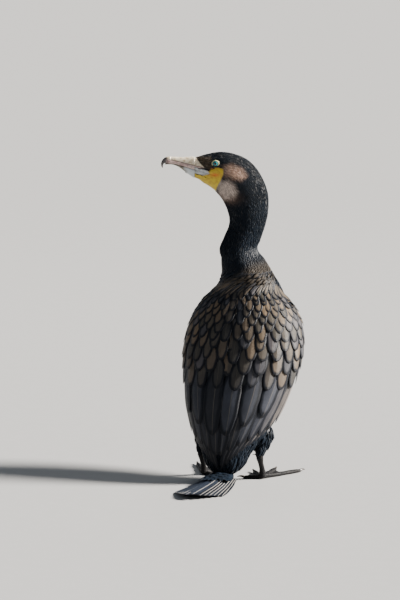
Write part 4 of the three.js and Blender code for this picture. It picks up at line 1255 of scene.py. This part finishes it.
for side_name, hand in (("right", 1), ("left", -1)):
    x = hand * LEG_X
    leg = [[x, ANKLE[0], ANKLE[1] + 1, 5.8], [x, ANKLE[0] - 1, ANKLE[1] - 6, 6.3],
           [x, ANKLE[0] + 4, ANKLE[1] - 16, 4.6],
           [x, FOOT[0] - 3, FOOT[1] + 8, 4.6], [x, FOOT[0], FOOT[1] - 1, 6.2], [x, FOOT[0], 3.4, 6.4]]
    parts = [(limb_points(leg, 28, 70, lambda s, t: 1 + 0.03 * np.cos(s * 120)), tube_faces(70, 28))]
    for toe, (_, length, radius) in TOES.items():
        line = []
        for share, knuckle in ((-0.02, 1.1), (0.26, 0.88), (0.4, 1.02), (0.56, 0.82), (0.7, 0.92),
                               (0.9, 0.8), (1, 0.55)):
            tx, ty = toe_spot(toe, hand, share)
            line.append([tx, ty, 3.4 - 0.8 * share + 2.6 * (1 - smooth(share * 3)),
                         radius * knuckle * 0.96])
        scales = lambda s, t: 1 + 0.045 * np.cos(s * length * 1.9) * smooth(np.sin(t) * 1.5)
        parts.append((limb_points(line, 24, int(length), scales), tube_faces(int(length), 24)))
    names = list(TOES)
    for near, far in zip(names, names[1:]):
        rows, columns = 26, 18
        share, part = np.meshgrid(np.linspace(0, 1, rows), np.linspace(0.03, 1, columns), indexing="ij")
        way = np.radians(TOES[near][0] + (TOES[far][0] - TOES[near][0]) * share)
        reach = (TOES[near][1]
                 + (TOES[far][1] - TOES[near][1]) * share) * (0.96 - 0.2 * np.sin(math.pi * share)) * part
        sag = 0.7 * np.sin(math.pi * share) * part + 0.25 * np.cos(share * 40) * part
        up = 4.4 - 2.4 * part - sag
        sheet = [np.stack([hand * (LEG_X + np.sin(way) * reach), FOOT[0] + np.cos(way) * reach,
                           np.maximum(up + d, 0.2)], -1)
                 for d in (0.0, -1.5)]
        parts.append((np.stack(sheet), sheet_faces(rows, columns)))
    foot = new_object("leg_and_foot_" + side_name, *joined(parts))
    fuse = foot.modifiers.new("fuse", "REMESH")
    fuse.mode, fuse.voxel_size = "VOXEL", 0.00075
    soften = foot.modifiers.new("soften", "SMOOTH")
    soften.factor, soften.iterations = 0.5, 3
    with_modifiers_applied(foot)
    for vertex in foot.data.vertices:
        vertex.co.z = max(vertex.co.z, 0.0)
    feet.append((foot, side_name))
    parts = []
    for toe, (_, length, _) in TOES.items():
        share = np.linspace(0, 1, 14)
        spots = [toe_spot(toe, hand, (length - 1.5 + 13.2 * s) / length) for s in share]
        rows = [[tx, ty, 2.9 + 2.4 * math.sin(math.pi * s * 0.8) - 1.6 * s, 2.3 * (1 - s) ** 0.55 + 0.12]
                for (tx, ty), s in zip(spots, share)]
        parts.append((limb_points(rows, 16, 14), tube_faces(14, 16)))
    claw = new_object("claws_" + side_name, *joined(parts))
    claws.append((claw, side_name))
    print("foot", side_name, len(foot.data.polygons), "faces")


# %% [markdown]
# The other finishes are horn, wet eye, bare skin and scaly leather. Skin-like ones share a
# group of fine pebbles with creases between them.

# %% Pebbled skin, shared by face, lids and feet
pebbles, pebble_in, pebble_out = new_group("pebbles", [("Scale", "Float")],
                                           [("Height", "Float"), ("Crease", "Float")])
where = put(pebbles, "ShaderNodeTexCoord").outputs["Object"]
cells = put(pebbles, "ShaderNodeTexVoronoi", {"feature": "DISTANCE_TO_EDGE"}, Vector=where,
            Scale=pebble_in.outputs["Scale"])
crease = rest(pebbles, ramp(pebbles, cells.outputs[0], 0.0, 0.16))
fine = put(pebbles, "ShaderNodeTexNoise", Vector=where,
           Scale=times(pebbles, pebble_in.outputs["Scale"], 3.0), Detail=4.0)
height = calc(pebbles, "SUBTRACT", times(pebbles, fine.outputs[0], 0.5), crease)
feed(pebbles, pebble_out, Height=height, Crease=crease)


def plain_material(name):
    made = bpy.data.materials.new(name)
    made.use_nodes = True
    return made, made.node_tree, made.node_tree.nodes["Principled BSDF"]


def pebbled(tree, shader, scale, strength):
    group = put(tree, "ShaderNodeGroup", {"node_tree": pebbles}, Scale=scale)
    bumped(tree, shader, group.outputs["Height"], strength, 0.0004)
    return group.outputs["Crease"]


# %% Horn
def horn_places(tree):
    """Distances along and up the head's own plane, in millimetres."""
    place = put(tree, "ShaderNodeTexCoord").outputs["Object"]
    centre = (head_point(0, 0) + SHIFT) / 1000
    local = put(tree, "ShaderNodeVectorMath", {"operation": "SUBTRACT"}, n0=place,
                n1=tuple(map(float, centre)))
    along = put(tree, "ShaderNodeVectorMath", {"operation": "DOT_PRODUCT"}, n0=local.outputs[0],
                n1=tuple(1000 * float(v) for v in bill_way)).outputs["Value"]
    up = times(tree, put(tree, "ShaderNodeSeparateXYZ", Vector=local.outputs[0]).outputs[2], 1000.0)
    return along, up


def horn_grain(tree):
    along, up = horn_places(tree)
    stretched = put(tree, "ShaderNodeCombineXYZ", X=times(tree, along, 0.07), Y=times(tree, up, 0.6), Z=0.3)
    streak = put(tree, "ShaderNodeTexNoise", Vector=stretched.outputs[0], Scale=1.0, Detail=7.0).outputs[0]
    mottle = noise(tree, 170.0, 5.0)
    return along, up, streak, mottle


def upper_horn(tree, along, up, streak, mottle):
    """Cream above the groove in the bill's side, a dark seam in it and pink below it."""
    line = fit(tree, along, GROOVE[1], GROOVE[0])
    above = calc(tree, "SUBTRACT", fit(tree, streak, 2.4, up), calc(tree, "ADD", line, 1.2))
    cream = fade(tree, mottle, 0.46, 0.64, (0.62, 0.54, 0.41), (0.40, 0.31, 0.19))
    pink = fade(tree, mottle, 0.44, 0.62, (0.50, 0.37, 0.33), (0.34, 0.22, 0.21))
    look = fade(tree, above, -0.4, 0.6, pink, cream)
    seam = rest(tree, ramp(tree, calc(tree, "ABSOLUTE", above), 0.25, 1.1))
    seam = times(tree, seam, rest(tree, ramp(tree, along, 118.0, 126.0)))
    look = blend(tree, times(tree, seam, 0.85), look, (0.05, 0.03, 0.03))
    return blend(tree, times(tree, ramp(tree, streak, 0.50, 0.72), 0.4), look, (0.13, 0.10, 0.08))


def lower_horn(tree, along, up, streak, mottle):
    dusky = fade(tree, mottle, 0.42, 0.6, (0.14, 0.125, 0.085), (0.07, 0.06, 0.045))
    base_end = fit(tree, mottle, 14.0, along)
    return fade(tree, base_end, 96.0, 108.0, (0.46, 0.49, 0.50), dusky)


def horn_finish(name, look_of, dark_from):
    made, tree, shader = plain_material(name)
    along, up, streak, mottle = horn_grain(tree)
    look = look_of(tree, along, up, streak, mottle)
    tip = ramp(tree, fit(tree, mottle, 6.0, along), dark_from, dark_from + 7.0)
    look = blend(tree, tip, look, (0.035, 0.028, 0.030))
    feed(tree, shader, Base_Color=look, Roughness=fit(tree, mottle, 0.25, 0.2))
    bumped(tree, shader, streak, 0.3, 0.0003)
    feed(tree, shader, Coat_Weight=0.1)
    return made


upper_finish = horn_finish("upper bill horn", upper_horn, 127.0)
lower_finish = horn_finish("lower bill horn", lower_horn, 140.0)

# %% Skin of the face and under the feathers
skin_finish, tree, shader = plain_material("skin")
crease = pebbled(tree, shader, 1300.0, 0.35)
mark = read(tree, "marking", "Color")
# The skin under the coat takes the plumage colour at 0.6 of its brightness: painted shade beneath the
# feathers.
under = put(tree, "ShaderNodeVectorMath", {"operation": "SCALE"}, n0=mark, Scale=0.6).outputs[0]
blotch = noise(tree, 190.0, 6.0)
yellow = fade(tree, blotch, 0.35, 0.65, (0.42, 0.27, 0.007), (0.56, 0.41, 0.012))
orange = read(tree, "orange")
yellow = blend(tree, orange, yellow, (0.60, 0.13, 0.008))
pale = fade(tree, blotch, 0.4, 0.6, (0.46, 0.49, 0.50), (0.26, 0.27, 0.27))
jaw = read(tree, "jaw_skin")
horn = read(tree, "horn_skin")
throat = read(tree, "throat_skin")
look = blend(tree, jaw, under, pale)
look = blend(tree, horn, look, upper_horn(tree, *horn_grain(tree)))
look = blend(tree, throat, look, yellow)
naked = calc(tree, "MAXIMUM", throat, jaw)
# The creases of the bare skin are darkened towards brown: painted shade in the creases.
look = blend(tree, times(tree, times(tree, crease, naked), 0.35), look, (0.10, 0.06, 0.03))
feed(tree, shader, Base_Color=look, Roughness=fit(tree, blotch, 0.25, 0.36), Specular_IOR_Level=0.35)

# %% Eyes, lids, feet and claws
eye_finish, tree, shader = plain_material("emerald eye")
off = read(tree, "off_middle")
fibres = noise(tree, 1400.0, 5.0)
iris = fade(tree, fibres, 0.38, 0.62, (0.003, 0.08, 0.10), (0.015, 0.24, 0.26))
iris = fade(tree, off, 0.62, 0.80, iris, (0.004, 0.035, 0.03))
look = fade(tree, off, 0.40, 0.44, (0.002, 0.002, 0.003), iris)
look = fade(tree, off, 0.95, 1.0, look, (0.05, 0.03, 0.03))
feed(tree, shader, Base_Color=look, Roughness=0.12, Coat_Weight=0.4, Coat_Roughness=0.02)

lid_finish, tree, shader = plain_material("beaded lids")
crease = pebbled(tree, shader, 1600.0, 0.3)
blotch = noise(tree, 400.0, 4.0)
look = fade(tree, blotch, 0.42, 0.66, (0.58, 0.56, 0.24), (0.34, 0.38, 0.26))
# The creases between the beads are darkened: painted shade in them.
look = blend(tree, times(tree, crease, 0.4), look, (0.10, 0.09, 0.08))
feed(tree, shader, Base_Color=look, Roughness=0.38)

foot_finish, tree, shader = plain_material("black webbed skin")
crease = pebbled(tree, shader, 620.0, 0.5)
dust = noise(tree, 70.0, 6.0)
look = fade(tree, dust, 0.4, 0.7, (0.004, 0.004, 0.005), (0.009, 0.008, 0.008))
look = blend(tree, times(tree, crease, 0.4), look, (0.016, 0.015, 0.014))
feed(tree, shader, Base_Color=look, Roughness=fit(tree, dust, 0.3, 0.32), Specular_IOR_Level=0.10)

claw_finish, tree, shader = plain_material("claw horn")
grain = noise(tree, 420.0, 6.0)
look = fade(tree, grain, 0.4, 0.65, (0.012, 0.011, 0.010), (0.06, 0.05, 0.042))
feed(tree, shader, Base_Color=look, Roughness=fit(tree, grain, 0.2, 0.22))
bumped(tree, shader, grain, 0.2, 0.0002)

# %% [markdown]
# Each piece now gets its finish, rides on the one body of the model, and takes the place of
# the solids that it stands for. The skin stands for all the flesh.

# %% Dress the model
def dress(piece, finish=None, replaces=()):
    if finish is not None:
        piece.data.materials.clear()
        piece.data.materials.append(finish)
    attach(piece, "root")
    if replaces:
        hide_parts(*replaces)


dress(skin, skin_finish,
      ["torso", "neck_lower", "neck_upper", "head", "gular_pouch", "thigh_right", "thigh_left"])
for coat in coats:
    dress(coat)
for piece, side_name in wings:
    dress(piece, replaces=["wing_" + side_name])
dress(tail, replaces=["tail"])
dress(tail_coverts)
dress(stump, foot_finish)
dress(bill_upper, upper_finish, ["bill_upper"])
dress(bill_lower, lower_finish, ["bill_lower"])
for eye, side_name in eyes:
    dress(eye, eye_finish, ["eye_" + side_name])
for lid in lids:
    dress(lid, lid_finish)
for foot, side_name in feet:
    dress(foot, foot_finish, ["foot_" + side_name, "tarsus_" + side_name])
for claw, side_name in claws:
    dress(claw, claw_finish, [f"claw_{side_name}_{toe}" for toe in TOES])
print("finishes:", [made.name for made in bpy.data.materials])

# %% [markdown]
# The main lamp is a broad sun, low on the right. A weak lamp fills the left, and one from
# behind draws a rim on crown and shoulders. The floor is a middle grey that looks pale in
# so much light, and the dark plumage keeps its contrast against it.

# %% Floor and light
floor = new_object("floor", [(-60, -60, 0), (60, -60, 0), (60, 60, 0), (-60, 60, 0)], [(0, 1, 2, 3)],
                   millimetres=False, closed=False)
floor_finish, tree, shader = plain_material("pale floor")
grain = noise(tree, 40.0)
feed(tree, shader, Base_Color=blend(tree, grain, (0.30, 0.30, 0.30), (0.32, 0.32, 0.32)), Roughness=0.8)
floor.data.materials.append(floor_finish)
floor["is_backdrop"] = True

world = bpy.data.worlds.new("studio")
bpy.context.scene.world = world
world.use_nodes = True
feed(world.node_tree, world.node_tree.nodes["Background"], Color=(0.72, 0.84, 1.0), Strength=0.19)
middle = Vector(SHIFT / 1000) + Vector((0, 0, 0.35))  # what the lamps are turned to
near_way = Vector((towards_camera.x, towards_camera.y, 0)).normalized()


def lamp(name, kind, right, near, up, power, tint):
    made = bpy.data.objects.new(name, bpy.data.lights.new(name, kind))
    bpy.context.scene.collection.objects.link(made)
    made.location = middle + right * picture_right + near * near_way + up * Vector((0, 0, 1))
    made.rotation_euler = (made.location - middle).to_track_quat("Z", "Y").to_euler()
    made.data.energy, made.data.color = power, tint
    return made.data


lamp("sun side", "SUN", 2.5, 0.0, 1.4, 24.0, (1.0, 0.95, 0.88)).angle = math.radians(14)
lamp("fill", "AREA", -1.6, 2.0, 0.9, 6.0, (0.92, 0.95, 1.0)).size = 1.2
lamp("rim", "AREA", 0.4, -2.2, 2.2, 20.0, (1.0, 0.98, 0.95)).size = 1.2
print("lamps:", [made.name for made in bpy.data.lights])

# %% Sizes, and the end
visual_box = plain_box(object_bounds())
print("visual box", visual_box)
